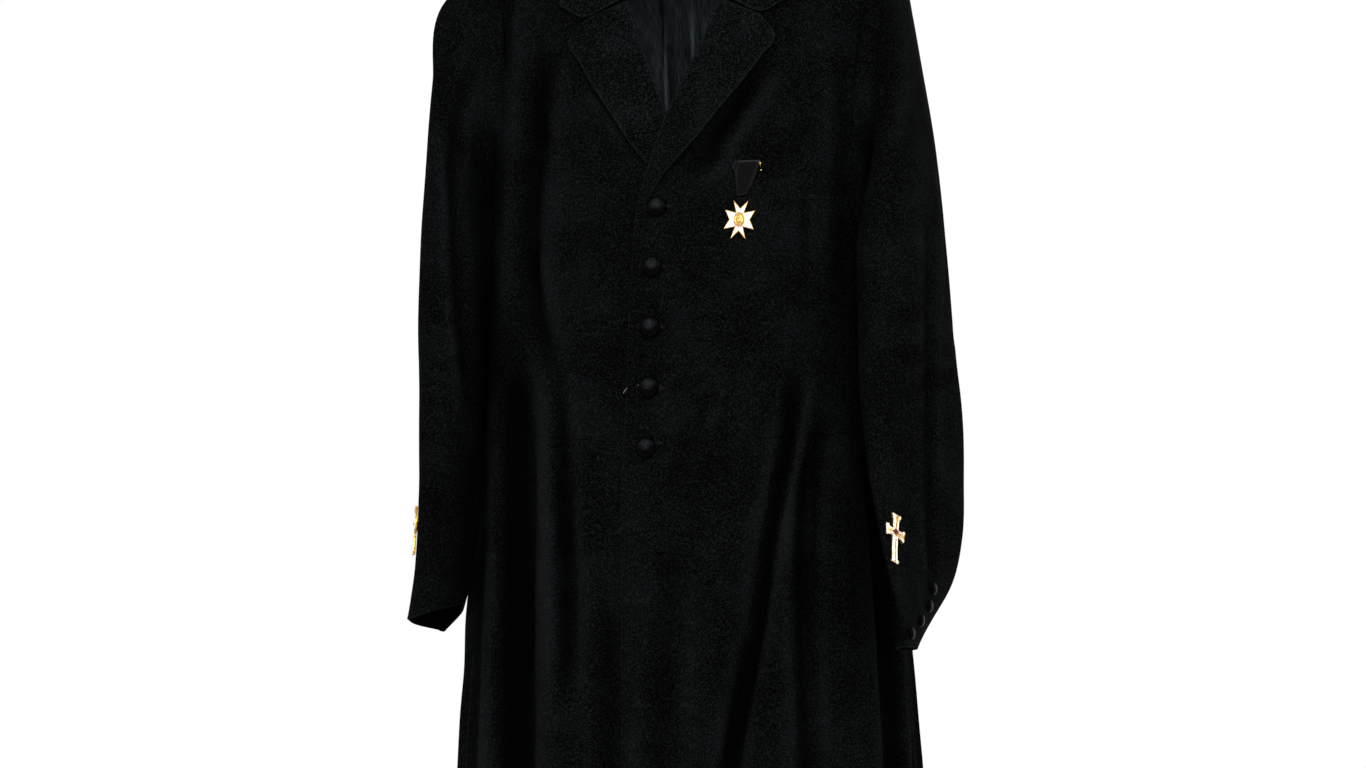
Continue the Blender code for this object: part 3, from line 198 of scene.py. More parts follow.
def wool_material(name, fold_shade, dark, wear_and_sheen_tone):
    """Dull nap over a twill, with painted shade in the troughs of folds, painted highlights on ridges and
    wear rubbed paler along finished edges.

    The twill and the nap are drawn about twice as coarse as they are, so that they show.
    """
    material, tree, output = new_material(name)
    place = add(tree, "ShaderNodeTexCoord").outputs
    slanted = add(tree, "ShaderNodeMapping", {"Rotation": (0.0, 0.0, math.radians(TWILL_SLANT))},
                  {"Vector": place["UV"]})
    lines = {"Scale": WAVE_BAND / TWILL_PITCH, "Distortion": 1.5, "Detail": 2.0, "Detail Scale": 2.0}
    twill = add(tree, "ShaderNodeTexWave", lines, {"Vector": slanted.outputs["Vector"]})
    nap = noise(tree, place["Object"], 1.0 / NAP_GRAIN, 4.0, 0.75)
    cloudy = noise(tree, place["Object"], CLOUD_SCALE, 4.0, 0.62)
    patchy = spread(tree, cloudy, 0.36, 0.68, -0.1, 0.16)
    both = reckon(tree, "ADD", patchy, spread(tree, nap, 0.48, 0.65))
    # The pale share: random nap and patches, wear at finished edges, and painted highlight on ridges.
    wear_and_sheen = reckon(tree, "ADD", both, painted(tree, "rub_and_painted_highlight"), clamp=True)
    # Painted shade: the fold colour covers the cloth as far as a crease sinks it.
    fold = add(tree, "ShaderNodeMix", {"data_type": "RGBA", 7: srgb(fold_shade)},
               {"Factor": painted(tree, "painted_fold_shade"), 6: tint(tree, wear_and_sheen, dark, wear_and_sheen_tone)})
    height = reckon(tree, "MULTIPLY_ADD", twill.outputs["Fac"], 0.6, nap)
    clad(tree, output, fold.outputs[2], height, (0.7, 0.5),
         {"Roughness": 0.9, "Specular IOR Level": 0.004})
    return material


def sateen_material(name, dark, light, roughness, shine):
    """Cotton sateen: long smooth floats along the piece, with painted sheen in fine lines along them and
    painted highlights on its ridges.
    """
    material, tree, output = new_material(name)
    place = add(tree, "ShaderNodeTexCoord").outputs
    stretched = add(tree, "ShaderNodeMapping", {"Scale": (1.0, 0.06, 1.0)}, {"Vector": place["UV"]})
    floats = noise(tree, stretched.outputs["Vector"], 1.0 / FLOAT_WIDTH, 2.0)
    # Painted sheen: the floats and the ridges of pleats are painted paler.
    share = reckon(tree, "MULTIPLY_ADD", painted(tree, "rub_and_painted_highlight"), 3.5,
                   spread(tree, floats, 0.36, 0.7, 0.0, 0.45), clamp=True)
    clad(tree, output, tint(tree, share, dark, light), floats, (0.3, 0.15),
         {"Roughness": roughness, "Specular IOR Level": shine})
    return material


WOOL = wool_material("milled_wool_twill", "#010101", "#020202", "#131516")
# The body's wool painted a little paler all over: painted light on the lapels and collar.
LIT_LAPEL_WOOL = wool_material("lit_lapel_wool_twill", "#020202", "#020303", "#181B1B")
SATEEN = sateen_material("cotton_sateen_lining", "#07090A", "#3A4145", 0.5, 0.08)
# A darker, dull copy of the same sateen for the insides of the body and sleeves: painted shade where little
# light reaches.
SHADED_INNER_SATEEN = sateen_material("shaded_sateen_lining", "#030404", "#0A0B0C", 0.95, 0.0)


def select_only(*pieces):
    """Selects these pieces and no others, and makes the first one active."""
    bpy.ops.object.select_all(action="DESELECT")
    for piece in pieces:
        piece.select_set(True)
    bpy.context.view_layer.objects.active = pieces[0]


def apply_modifier(piece, kind, **settings):
    """Adds a modifier with its settings to the active piece, and applies it."""
    modifier = piece.modifiers.new(kind.lower(), kind)
    for name, value in settings.items():
        setattr(modifier, name, value)
    bpy.ops.object.modifier_apply(modifier=modifier.name)


def round_edges(piece, width, angle, segments=2):
    """Rounds the active piece's edges, where they turn by more than an angle in degrees."""
    apply_modifier(piece, "BEVEL", width=width * MM, segments=segments, limit_method="ANGLE",
                   angle_limit=math.radians(angle))


def node_points(node):
    """A node's points, in metres."""
    return np.array([vert.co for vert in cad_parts[node].data.vertices])


def own_ways(points):
    """The ways through a cloud of points in which it is thinnest, wider and longest, as columns."""
    return np.linalg.eigh(np.cov((points - points.mean(axis=0)).T))[1]


def toward(way, outward):
    """The way or its opposite, whichever points outward."""
    return way if way @ np.array(outward) > 0.0 else -way


def seen_sheet(node, thick, columns, centre, start):
    """The seen face of a panel's wall as rows of points, in millimetres.

    The panel's node is copied and merged, the faces round its rim are taken off, and of the two
    sheets left the one that faces away from the centre is kept. Rows of columns + 1 points are
    then followed across it from the end that the start function puts lowest.
    """
    shape = bmesh.new()
    shape.from_mesh(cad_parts[node].data)
    bmesh.ops.remove_doubles(shape, verts=shape.verts, dist=0.01 * MM)
    rims = [edge for edge in shape.edges if abs(edge.calc_length() - thick * MM) < 0.03 * MM]
    bmesh.ops.delete(shape, geom=list({face for edge in rims for face in edge.link_faces}), context="FACES")
    middle = Vector((centre[0], centre[1], 0.0)) * MM
    best, best_turn = None, -1e9
    waiting = set(shape.verts)
    while waiting:
        island, queue = set(), [waiting.pop()]
        while queue:
            vert = queue.pop()
            island.add(vert)
            near = [edge.other_vert(vert) for edge in vert.link_edges]
            queue += [other for other in near if other in waiting]
            waiting.difference_update(near)
        turn = 0.0
        for face in {face for vert in island for face in vert.link_faces}:
            out = face.calc_center_median() - middle
            turn += face.normal.dot(Vector((out.x, out.y, 0.0))) * face.calc_area()
        if turn > best_turn:
            best, best_turn = island, turn
    rows = follow_rows(best, columns, start)
    points = np.array([[vert.co / MM for vert in row] for row in rows])
    shape.free()
    return points


def follow_rows(island, columns, start):
    """Rows of vertices across a sheet, found from the corner and direction that reach them all."""
    loop = [next(v for v in island if any(len(e.link_faces) == 1 for e in v.link_edges))]
    while True:
        near = [e.other_vert(loop[-1]) for e in loop[-1].link_edges if len(e.link_faces) == 1]
        step = [v for v in near if v not in loop[-2:]]
        if not step or (step[0] is loop[0] and len(loop) > 2):
            break
        loop.append(step[0])
    count = len(loop)
    found = []
    for direction in (1, -1):
        for first in range(count):
            row = [loop[(first + direction * i) % count] for i in range(columns + 1)]
            rows = [row]
            seen = set(row)
            while len(seen) < len(island):
                near = {e.other_vert(v) for v in rows[-1] for e in v.link_edges} - seen
                lead = [e.other_vert(rows[-1][0]) for e in rows[-1][0].link_edges if len(e.link_faces) == 1]
                lead = [v for v in lead if v in near]
                if len(near) != columns + 1 or len(lead) != 1:
                    break
                chain = lead
                while len(chain) <= columns:
                    after = [e.other_vert(chain[-1]) for e in chain[-1].link_edges]
                    after = [v for v in after if v in near and v not in chain]
                    if len(after) != 1:
                        break
                    chain.append(after[0])
                if len(chain) != columns + 1:
                    break
                rows.append(chain)
                seen.update(chain)
            if len(seen) == len(island):
                face = next(f for f in rows[0][0].link_faces)
                across = rows[0][1].co - rows[0][0].co
                up = rows[1][0].co - rows[0][0].co
                if across.cross(up).dot(face.normal) > 0.0:
                    found.append(rows)
    return min(found, key=lambda rows: start(sum((v.co for v in rows[0]), Vector()) / (columns + 1)))


def spline(values, knots, places):
    """Values along the first axis, read on a smooth curve through the knots."""
    slopes = np.gradient(values, knots, axis=0)
    index = np.clip(np.searchsorted(knots, places, side="right") - 1, 0, len(knots) - 2)
    span = (knots[index + 1] - knots[index])[:, None, None]
    t = ((places - knots[index])[:, None, None]) / span
    low, high = values[index], values[index + 1]
    slope_low, slope_high = slopes[index] * span, slopes[index + 1] * span
    return (
        (2 * t ** 3 - 3 * t ** 2 + 1) * low + (t ** 3 - 2 * t ** 2 + t) * slope_low
        + (3 * t ** 2 - 2 * t ** 3) * high + (t ** 3 - t ** 2) * slope_high
    )


# Places near an edge, where its turn and its stitches need a finer grid.
EDGE_PLACES = (0.0, 0.8, 1.8, 3.2, 4.0, 4.8)


def finer(length, cell):
    """Places along a side about a cell apart, closer together near both ends for its edges."""
    near = [place for place in EDGE_PLACES if place < length / 4.0]
    inner = np.linspace(near[-1], length - near[-1], max(int((length - 2 * near[-1]) / cell), 2) + 1)
    return np.concatenate([near[:-1], inner, [length - place for place in reversed(near[:-1])]])


def fine_grid(points, cell):
    """A finer grid through a coarse one, with its places across and up in millimetres."""
    up = np.linalg.norm(np.diff(points, axis=0), axis=2).mean(axis=1)
    across = np.linalg.norm(np.diff(points, axis=1), axis=2).mean(axis=0)
    up_knots = np.concatenate([[0.0], np.cumsum(up)])
    across_knots = np.concatenate([[0.0], np.cumsum(across)])
    v = finer(up_knots[-1], cell)
    u = finer(across_knots[-1], cell)
    tall = spline(points, up_knots, v)
    wide = spline(tall.transpose(1, 0, 2), across_knots, u).transpose(1, 0, 2)
    return wide, u, v


def normals_of(points):
    """Unit normals of a grid of points, pointing away from its back."""
    up = np.gradient(points, axis=0)
    across = np.gradient(points, axis=1)
    out = np.cross(across, up)
    return out / np.linalg.norm(out, axis=2, keepdims=True)


def smooth(value):
    """A rise from 0 to 1 with no corner at either end."""
    value = np.clip(value, 0.0, 1.0)
    return value * value * (3.0 - 2.0 * value)


# Soft creases of the worn body, seen from the front, back and sides: how far each dips, half its
# width, and its course as places across (fore and aft, on a side) and in height, in millimetres.
BODY_CREASES = {
    "front": (
        (5, 13, ((-135, -105), (-140, -243), (-140, -302), (-137, -385), (-132, -430))),
        (4.5, 9, ((-136, -300), (-127, -360), (-118, -412), (-104, -450), (-97, -480))),
        (10, 17, ((-152, -425), (-150, -500), (-144, -600), (-141, -675), (-138, -839),
                      (-135, -1060))),
        (5.5, 8, ((-99, -440), (-95, -480), (-91, -511), (-84, -607), (-79, -687),
                    (-80, -790))),
        (2.4, 4, ((138, -262), (142.5, -295), (145, -340), (147, -385))),
        (3, 7, ((170, -110), (172, -180), (176, -270), (178, -420))),
        (7.5, 6.5, ((141, -430), (135, -504), (131, -545), (117, -623), (107.5, -698),
                    (94, -766), (84, -831), (58, -1060))),
        (5.5, 6.5, ((162, -488), (151, -565), (152, -680), (156, -828), (163, -1060))),
        (1.8, 5, ((43, -490), (20, -580))),
        (1.6, 5, ((66, -462), (32, -545))),
        (2.6, 8, ((-186, -60), (-181, -160))),
        (2, 9, ((158, -185), (136, -225), (108, -262))),
        (1.8, 8, ((-160, -180), (-132, -215), (-112, -245))),
        (6.8, 10, ((106, -128), (84, -168), (71, -192), (57, -215), (45, -232), (28, -246),
                     (8, -266))),
        (4, 8, ((66, -228), (46, -250), (22, -262))),
        (4.5, 7, ((-90, -140), (-68, -170), (-41, -208), (-13, -246))),
        (1.1, 4, ((12, -352), (58, -366))),
        (1.2, 4, ((12, -412), (66, -398))),
        (1.2, 4.5, ((12, -470), (62, -456))),
        (1.3, 5, ((-32, -396), (-80, -412))),
        (1.4, 5, ((-34, -462), (-92, -446))),
        (3, 11, ((-40, -640), (-34, -820), (-30, -1060))),
        (2.6, 12, ((28, -600), (18, -830), (12, -1060))),
    ),
    "back": (
        (2.4, 12, ((36, -70), (46, -160), (44, -270))),
        (1.6, 12, ((-40, -85), (-52, -180), (-47, -300))),
        (2.2, 8, ((-96, -150), (-80, -235), (-72, -330))),
        (2, 8, ((104, -140), (86, -220), (80, -300))),
        (1.8, 6, ((-92, -440), (-56, -456), (-24, -450))),
        (1.7, 6, ((20, -462), (60, -446), (98, -462))),
        (1.5, 6, ((-84, -482), (-40, -470))),
        (5, 10, ((86, -600), (96, -800), (104, -1060))),
        (4, 9, ((-92, -580), (-100, -780), (-112, -1060))),
        (3, 8, ((36, -640), (40, -830), (42, -1060))),
        (2.8, 9, ((-34, -620), (-44, -860), (-46, -1060))),
    ),
    "left": (
        (6.5, 11, ((-64, -490), (-50, -560), (-44, -620), (-42, -700), (-42, -790),
                     (-50, -930))),
        (4, 9, ((-6, -540), (-10, -780), (-16, -1060))),
        (4.5, 10, ((36, -545), (44, -800), (50, -1060))),
        (3, 8, ((84, -560), (98, -820), (106, -1060))),
        (1.8, 8, ((30, -300), (12, -400), (16, -480))),
        (1.6, 6, ((-30, -470), (20, -486), (60, -476))),
    ),
    "right": (
        (-2.6, 15, ((45, -510), (45, -606), (46, -654), (46, -765))),
        (5, 10, ((-34, -540), (-46, -800), (-52, -1060))),
        (4, 9, ((24, -530), (30, -780), (28, -1060))),
        (3.2, 9, ((90, -580), (100, -820), (112, -1060))),
        (2, 8, ((40, -290), (22, -380), (24, -470))),
        (1.6, 6, ((-36, -480), (10, -470), (52, -484))),
    ),
}
# The way each table is seen from, in degrees round the coat from straight in front of it.
VIEWS = {"front": 0.0, "fore": VIEW_AZIMUTH, "left": 90.0, "back": 180.0, "right": 270.0}
# A crease fades over a share of its length, or over this span if that is less, and its sides rise.
RUNOUT_SHARE = 0.4
RUNOUT_SPAN = 70.0
SIDE_RISE = 0.3
# The slow waves of pressed cloth: their height, their span, and how each runs along x, y and z.
UNEVEN = 0.16
UNEVEN_SPAN = 20.0
UNEVEN_WAVES = ((1.0, 0.4, 0.3), (0.5, 1.1, -0.6), (-0.9, 0.3, 0.5), (1.7, -0.8, 0.9), (0.3, -0.5, 1.3),
                (-1.3, 1.6, 0.35))


def crease_relief(h, z, creases):
    """How far a table of creases sinks the cloth at flat places h and z; their sides rise a little."""
    total = np.zeros(h.shape)
    for depth, half_width, course in creases:
        lengths = [math.dist(a, b) for a, b in zip(course[:-1], course[1:])]
        whole, passed = sum(lengths), 0.0
        away, along = np.full(h.shape, 1e9), np.zeros(h.shape)
        for (h0, z0), (h1, z1), length in zip(course[:-1], course[1:], lengths):
            t = np.clip(((h - h0) * (h1 - h0) + (z - z0) * (z1 - z0)) / length ** 2, 0.0, 1.0)
            off = np.hypot(h - h0 - t * (h1 - h0), z - z0 - t * (z1 - z0))
            nearer = off < away
            away = np.where(nearer, off, away)
            along = np.where(nearer, passed + t * length, along)
            passed += length
        runout = min(RUNOUT_SHARE * whole, RUNOUT_SPAN)
        fade = smooth(along / runout) * smooth((whole - along) / runout)
        off = away / half_width
        total += depth * fade * (np.exp(-off ** 2) - SIDE_RISE * np.exp(-(off - 2.0) ** 2))
    return total


def worn_relief(points, creases):
    """Creases as they fall on a grid of points, with the slight unevenness of pressed cloth."""
    normals = normals_of(points)
    total = np.zeros(points.shape[:2])
    for view, table in creases.items():
        angle = math.radians(VIEWS[view])
        facing = normals[:, :, 0] * math.sin(angle) - normals[:, :, 1] * math.cos(angle)
        across = points[:, :, 0] * math.cos(angle) + points[:, :, 1] * math.sin(angle)
        total += smooth((facing - 0.15) / 0.45) * crease_relief(across, points[:, :, 2], table)
    x, y, z = (points / UNEVEN_SPAN).transpose(2, 0, 1)
    waves = [np.sin(a * x + b * y + c * z + 5.0 * a) for a, b, c in UNEVEN_WAVES]
    return total + UNEVEN * sum(waves)


# The seen face of each piece of cloth made so far: its points, and its places across and up.
CLOTH = {}
ALL_SIDES = ("first_row", "last_row", "first_column", "last_column")
# Cloth in millimetres, how far a seam's edge reaches into it, and how far stitches lie from an edge.
CLOTH_THICK = 1.6
SEAM_REACH = 0.25
STITCH_INSET = 4.2
# The dips beside a seam and along the stitches of a hem, and how far each spreads.
SEAM_DIPS = ((0.75, 1.7), (0.15, 6.0))
HEM_DIP = 0.25
HEM_SPAN = 0.7
# How pale ridges are painted as painted highlights and finished edges are rubbed as wear, and the depth at
# which a fold's painted shade would be black.
RIDGE_HIGHLIGHT = 0.12
EDGE_RUB = 0.35
EDGE_RUB_SPAN = 1.3
BLACK_SHADE_DEPTH = 7.0


def wall_of_cloth(name, points, u, v, relief, sewn, materials, thick=CLOTH_THICK, edge_round=0.45,
                  hemmed=True, top_tuck=SEAM_REACH):
    """A piece of cloth from a grid of its seen points, drawn in by the relief and at sewn sides.

    sewn holds the sides that end in a seam, where the cloth turns in and meets the next piece:
    first_row, last_row, first_column and last_column. The other sides are finished edges, where
    the nap is rubbed. Relief is level on upright cloth, so that creases run on across a seam.
    """
    normals = normals_of(points)
    sink = np.zeros(points.shape[:2])
    # Painted highlight: where the relief rises into a ridge, the cloth is painted paler.
    wear_and_highlight = np.clip(-relief * RIDGE_HIGHLIGHT, 0.0, 0.5)
    for side, off in zip(ALL_SIDES, (v[:, None], v[-1] - v[:, None], u[None, :], u[-1] - u[None, :])):
        if side in sewn:
            sink = np.maximum(sink, sum(dip * np.exp(-(off / span) ** 2) for dip, span in SEAM_DIPS))
        else:
            sink = np.maximum(sink, HEM_DIP * hemmed * np.exp(-((off - STITCH_INSET) / HEM_SPAN) ** 2))
            wear_and_highlight = np.maximum(wear_and_highlight, EDGE_RUB * np.exp(-(off / EDGE_RUB_SPAN) ** 2))
    level = normals.copy()
    level[:, :, 2] *= smooth((np.abs(normals[:, :, 2]) - 0.3) / 0.3)
    level /= np.linalg.norm(level, axis=2, keepdims=True)
    points = points - level * relief[:, :, None] - normals * sink[:, :, None]
    turned = points.transpose(1, 0, 2)
    ends = ((points, 0, 1), (points, -1, -2), (turned, 0, 1), (turned, -1, -2))
    for side, (grid, end, inside) in zip(ALL_SIDES, ends):
        if side in sewn:
            rim = grid[end]
            outward = rim - grid[inside]
            reach = top_tuck if side == "last_row" else SEAM_REACH
            rim += outward / np.linalg.norm(outward, axis=1, keepdims=True) * reach
    CLOTH[name] = (points, u, v)
    rows, columns = points.shape[:2]
    mesh = bpy.data.meshes.new(name)
    index = np.arange(rows * columns).reshape(rows, columns)
    faces = np.stack([index[:-1, :-1], index[:-1, 1:], index[1:, 1:], index[1:, :-1]], axis=-1).reshape(-1, 4)
    mesh.from_pydata((points.reshape(-1, 3) * MM).tolist(), [], faces.tolist())
    uv_map = mesh.uv_layers.new(name="cut")
    flat = np.stack(np.meshgrid(u * MM, v * MM), axis=-1).reshape(-1, 2)
    corner = np.zeros(len(mesh.loops), dtype=np.int32)
    mesh.loops.foreach_get("vertex_index", corner)
    uv_map.data.foreach_set("uv", flat[corner].ravel())
    # Painted shade: the deeper a crease sinks the cloth, the nearer its colour comes to black.
    fold_shade = np.clip(relief / BLACK_SHADE_DEPTH, 0.0, 0.85)
    for attribute, values in (("rub_and_painted_highlight", wear_and_highlight), ("painted_fold_shade", fold_shade)):
        held = mesh.attributes.new(attribute, "FLOAT", "POINT")
        held.data.foreach_set("value", values.ravel().astype(np.float32))
    for material in materials:
        mesh.materials.append(material)
    made = in_scene(name, mesh)
    select_only(made)
    apply_modifier(made, "SOLIDIFY", thickness=thick * MM, offset=-1.0, material_offset=len(materials) - 1)
    if edge_round:
        round_edges(made, edge_round, 65.0)
    made.data.shade_smooth()
    return made


def dress(piece, node):
    """The piece stands for its node: the node is hidden and the piece hangs from the root."""
    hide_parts(node)
    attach(piece, "root")


def low_first(centre):
    """Puts the lowest row first."""
    return centre.z


def cloth_piece(node, columns, flat, area, on=(), slot="wool", held="hung", creases=None, sewn=ALL_SIDES,
                materials=(WOOL, SHADED_INNER_SATEEN), cell=4.0, centre=(0.0, 10.0), start=low_first, wall=2.0,
                **finish):
    """A finer piece of cloth over the seen face of its node's wall, creased where it is worn.

    flat and area (its cut in metres) and on (the nodes that carry it) are not used; finish holds what
    wall_of_cloth takes besides.
    """
    points, u, v = fine_grid(seen_sheet(node, wall, columns, centre, start), cell)
    relief = worn_relief(points, creases) if creases else np.zeros(points.shape[:2])
    piece = wall_of_cloth(node + "_cloth", points, u, v, relief, sewn, materials, **finish)
    dress(piece, node)


def sides_but(free):
    """The sides of a piece that is sewn all round except for one free side."""
    return [side for side in ALL_SIDES if side != free]


for hand in ("left", "right"):
    forepart, sidebody = "forepart_" + hand, "sidebody_" + hand
    free_front = "first_column" if hand == "left" else "last_column"
    cloth_piece(forepart, 18, (0.250, 0.565), 0.103, creases=BODY_CREASES, sewn=sides_but(free_front))
    cloth_piece(sidebody, 8, (0.225, 0.283), 0.0455, [forepart], creases=BODY_CREASES)
    cloth_piece("back_" + hand, 10, (0.240, 1.102), 0.160, creases=BODY_CREASES, sewn=sides_but("first_row"))
    cloth_piece("skirt_" + hand, 44, (0.620, 0.545), 0.304, [forepart, sidebody], creases=BODY_CREASES,
                sewn=["last_row"])


# ------------------------------------------------------------------ sleeves
# Two-piece sleeves of the same wool, a wider top piece and a narrower under piece, lined in black
# sateen and sewn into the armholes.
CROWN_TUCK = 2.0
SLEEVE_CREASES = {
    "left": {
        "fore": (
            (3.6, 5, ((228, -280), (228, -350), (227.5, -430), (227.5, -508), (227.5, -583),
                        (229, -640), (224, -668), (205, -695))),
            (1.8, 7, ((176, -380), (200, -400), (226, -396))),
            (2, 7, ((182, -424), (206, -440), (236, -432))),
            (1.6, 6, ((186, -468), (208, -474), (228, -466))),
            (2.4, 8, ((196, -90), (190, -170), (178, -250))),
            (1.8, 9, ((226, -130), (220, -210), (222, -270))),
            (1.6, 7, ((190, -600), (208, -640), (206, -690))),
        ),
        "left": (
            (1.8, 8, ((-10, -240), (-30, -330), (-52, -420))),
            (2, 7, ((-20, -410), (-60, -430), (-100, -424))),
            (1.8, 7, ((-40, -450), (-80, -462), (-120, -456))),
            (1.6, 8, ((-150, -560), (-130, -620), (-126, -680))),
        ),
        "back": (
            (1.8, 8, ((-250, -160), (-240, -260), (-248, -350))),
            (2, 7, ((-284, -420), (-254, -432), (-226, -424))),
            (1.8, 7, ((-280, -462), (-246, -470), (-222, -458))),
            (1.6, 7, ((-262, -540), (-256, -610), (-262, -690))),
        ),
    },
    "right": {
        "fore": (
            (4, 5.5, ((-203, -118), (-218, -144), (-231, -190), (-235, -251), (-230, -320),
                        (-227, -384), (-221, -440), (-215, -510))),
            (1.4, 6, ((-258, -392), (-240, -402), (-222, -396))),
            (1.5, 6, ((-260, -440), (-240, -446), (-220, -436))),
            (1.8, 9, ((-236, -80), (-244, -170), (-246, -260))),
            (1.4, 8, ((-252, -500), (-246, -580), (-250, -660))),
        ),
        "right": (
            (1.9, 8, ((0, -220), (20, -310), (36, -390))),
            (1.8, 7, ((14, -396), (52, -410), (88, -402))),
            (1.6, 7, ((24, -446), (60, -452), (100, -442))),
            (1.6, 9, ((110, -540), (96, -620), (92, -690))),
        ),
        "left": (
            (-2, 12, ((-48, -515), (-60, -590), (-73, -645), (-76, -720))),
        ),
        "back": (
            (1.8, 8, ((232, -150), (242, -260), (236, -350))),
            (1.9, 7, ((214, -410), (236, -420), (262, -412))),
            (1.6, 7, ((216, -460), (240, -462), (258, -450))),
        ),
    },
}


def sleeve_piece(kind, hand, columns, flat, area):
    """One piece of a sleeve, open at the cuff, with its crown tucked into the armhole."""
    node = kind + "_" + hand
    low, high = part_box(node)
    centre = ((low.x + high.x) / 2.0 / MM, (low.y + high.y) / 2.0 / MM)
    cloth_piece(node, columns, flat, area, ["forepart_" + hand, "back_" + hand], creases=SLEEVE_CREASES[hand],
                sewn=sides_but("first_row"), centre=centre, top_tuck=CROWN_TUCK)


sleeve_piece("topsleeve", "left", 14, (0.350, 0.710), 0.1355)
sleeve_piece("topsleeve", "right", 14, (0.358, 0.716), 0.1314)
sleeve_piece("undersleeve", "left", 12, (0.226, 0.615), 0.0753)
sleeve_piece("undersleeve", "right", 12, (0.226, 0.600), 0.0656)


# ------------------------------------------------------------------ lapels and collar
# The fronts turn back into notched lapels faced with the same wool, pressed flat, and the collar
# turns over a stand sewn to the neck. Their edges are turned and pressed thin.
def lapel_piece(hand, flat, area):
    """A turned lapel, with every edge finished."""
    cloth_piece("lapel_" + hand, 6, flat, area, ["forepart_" + hand], "lapel_wool", "folded", sewn=(),
                materials=(LIT_LAPEL_WOOL,), cell=2.5, centre=(0.0, 60.0), thick=1.8, edge_round=0.6)


lapel_piece("left", (0.073, 0.236), 0.0100)
lapel_piece("right", (0.073, 0.183), 0.0091)
cloth_piece("collar", 10, (0.120, 0.555), 0.0434,
            ["back_left", "back_right", "forepart_left", "forepart_right"], "lapel_wool", "folded", sewn=(),
            materials=(LIT_LAPEL_WOOL,), cell=2.5, centre=(0.0, 0.0), start=lambda centre: -centre.x, wall=1.6,
            edge_round=0.5)


# ------------------------------------------------------------------ back lining
# Black cotton sateen inside the back, felled round the neck, with pleats laid to one side so that
# the shoulders can move. It is thin and smooth, and the ridges of its pleats are painted pale as painted
# highlights.
LINING_CREASES = {
    "front": (
        (-2.2, 1.9, ((-54, -70), (-57, -100), (-60.5, -140), (-62, -215))),
        (-2, 1.9, ((-25.5, -60), (-27.5, -95), (-30, -150), (-31, -210))),
        (1.3, 3, ((-49, -70), (-53, -140), (-55, -200))),
        (1.2, 3, ((-21, -60), (-24, -130), (-26, -200))),
        (0.9, 6, ((12, -90), (6, -190))),
        (0.8, 7, ((-80, -100), (-88, -200))),
    ),
}
cloth_piece("back_lining", 23, (0.435, 0.530), 0.165, ["back_left", "back_right"], "sateen",
            creases=LINING_CREASES, materials=(SATEEN,), cell=2.5, centre=(0.0, 300.0), wall=1.0, thick=0.8,
            edge_round=0.2)


# ------------------------------------------------------------------ edge stitching
# A row of small prick stitches in black silk holds the turned edges of fronts, lapels, collar,
# vent and cuffs flat. Each stitch dips into the cloth at both ends.
STITCH_RADIUS = 0.32
STITCH_HALF = 0.9
STITCH_STEP = 5.2
STITCH_SHAPE = ((-1.0, -0.3), (-0.4, 0.16), (0.4, 0.16), (1.0, -0.3))
PLY_GRAIN = 0.7 * MM


def silk_thread(name, dark, light, roughness, shine=0.25):
    """Twisted silk or linen: two plies wind round each other, with a soft shine along the thread."""
    material, tree, output = new_material(name)
    place = add(tree, "ShaderNodeTexCoord").outputs
    plies = noise(tree, place["Object"], 1.0 / PLY_GRAIN, 2.0)
    clad(tree, output, tint(tree, plies, dark, light), plies, (0.5, 0.1),
         {"Roughness": roughness, "Specular IOR Level": shine})
    return material


BLACK_SILK = silk_thread("black_silk_twist", "#020202", "#090A0B", 0.5, 0.05)


def cloth_point(name, across, up, lift):
    """A point on a piece of cloth at places across and up it, lifted off its face."""
    points, u, v = CLOTH[name]
    row = int(np.clip(np.searchsorted(v, up) - 1, 0, len(v) - 2))
    column = int(np.clip(np.searchsorted(u, across) - 1, 0, len(u) - 2))
    t = (up - v[row]) / (v[row + 1] - v[row])
    s = (across - u[column]) / (u[column + 1] - u[column])
    low, high = points[row], points[row + 1]
    point = (1 - t) * ((1 - s) * low[column] + s * low[column + 1])
    point = point + t * ((1 - s) * high[column] + s * high[column + 1])
    out = np.cross(low[column + 1] - low[column], high[column] - low[column])
    return point + out / np.linalg.norm(out) * lift


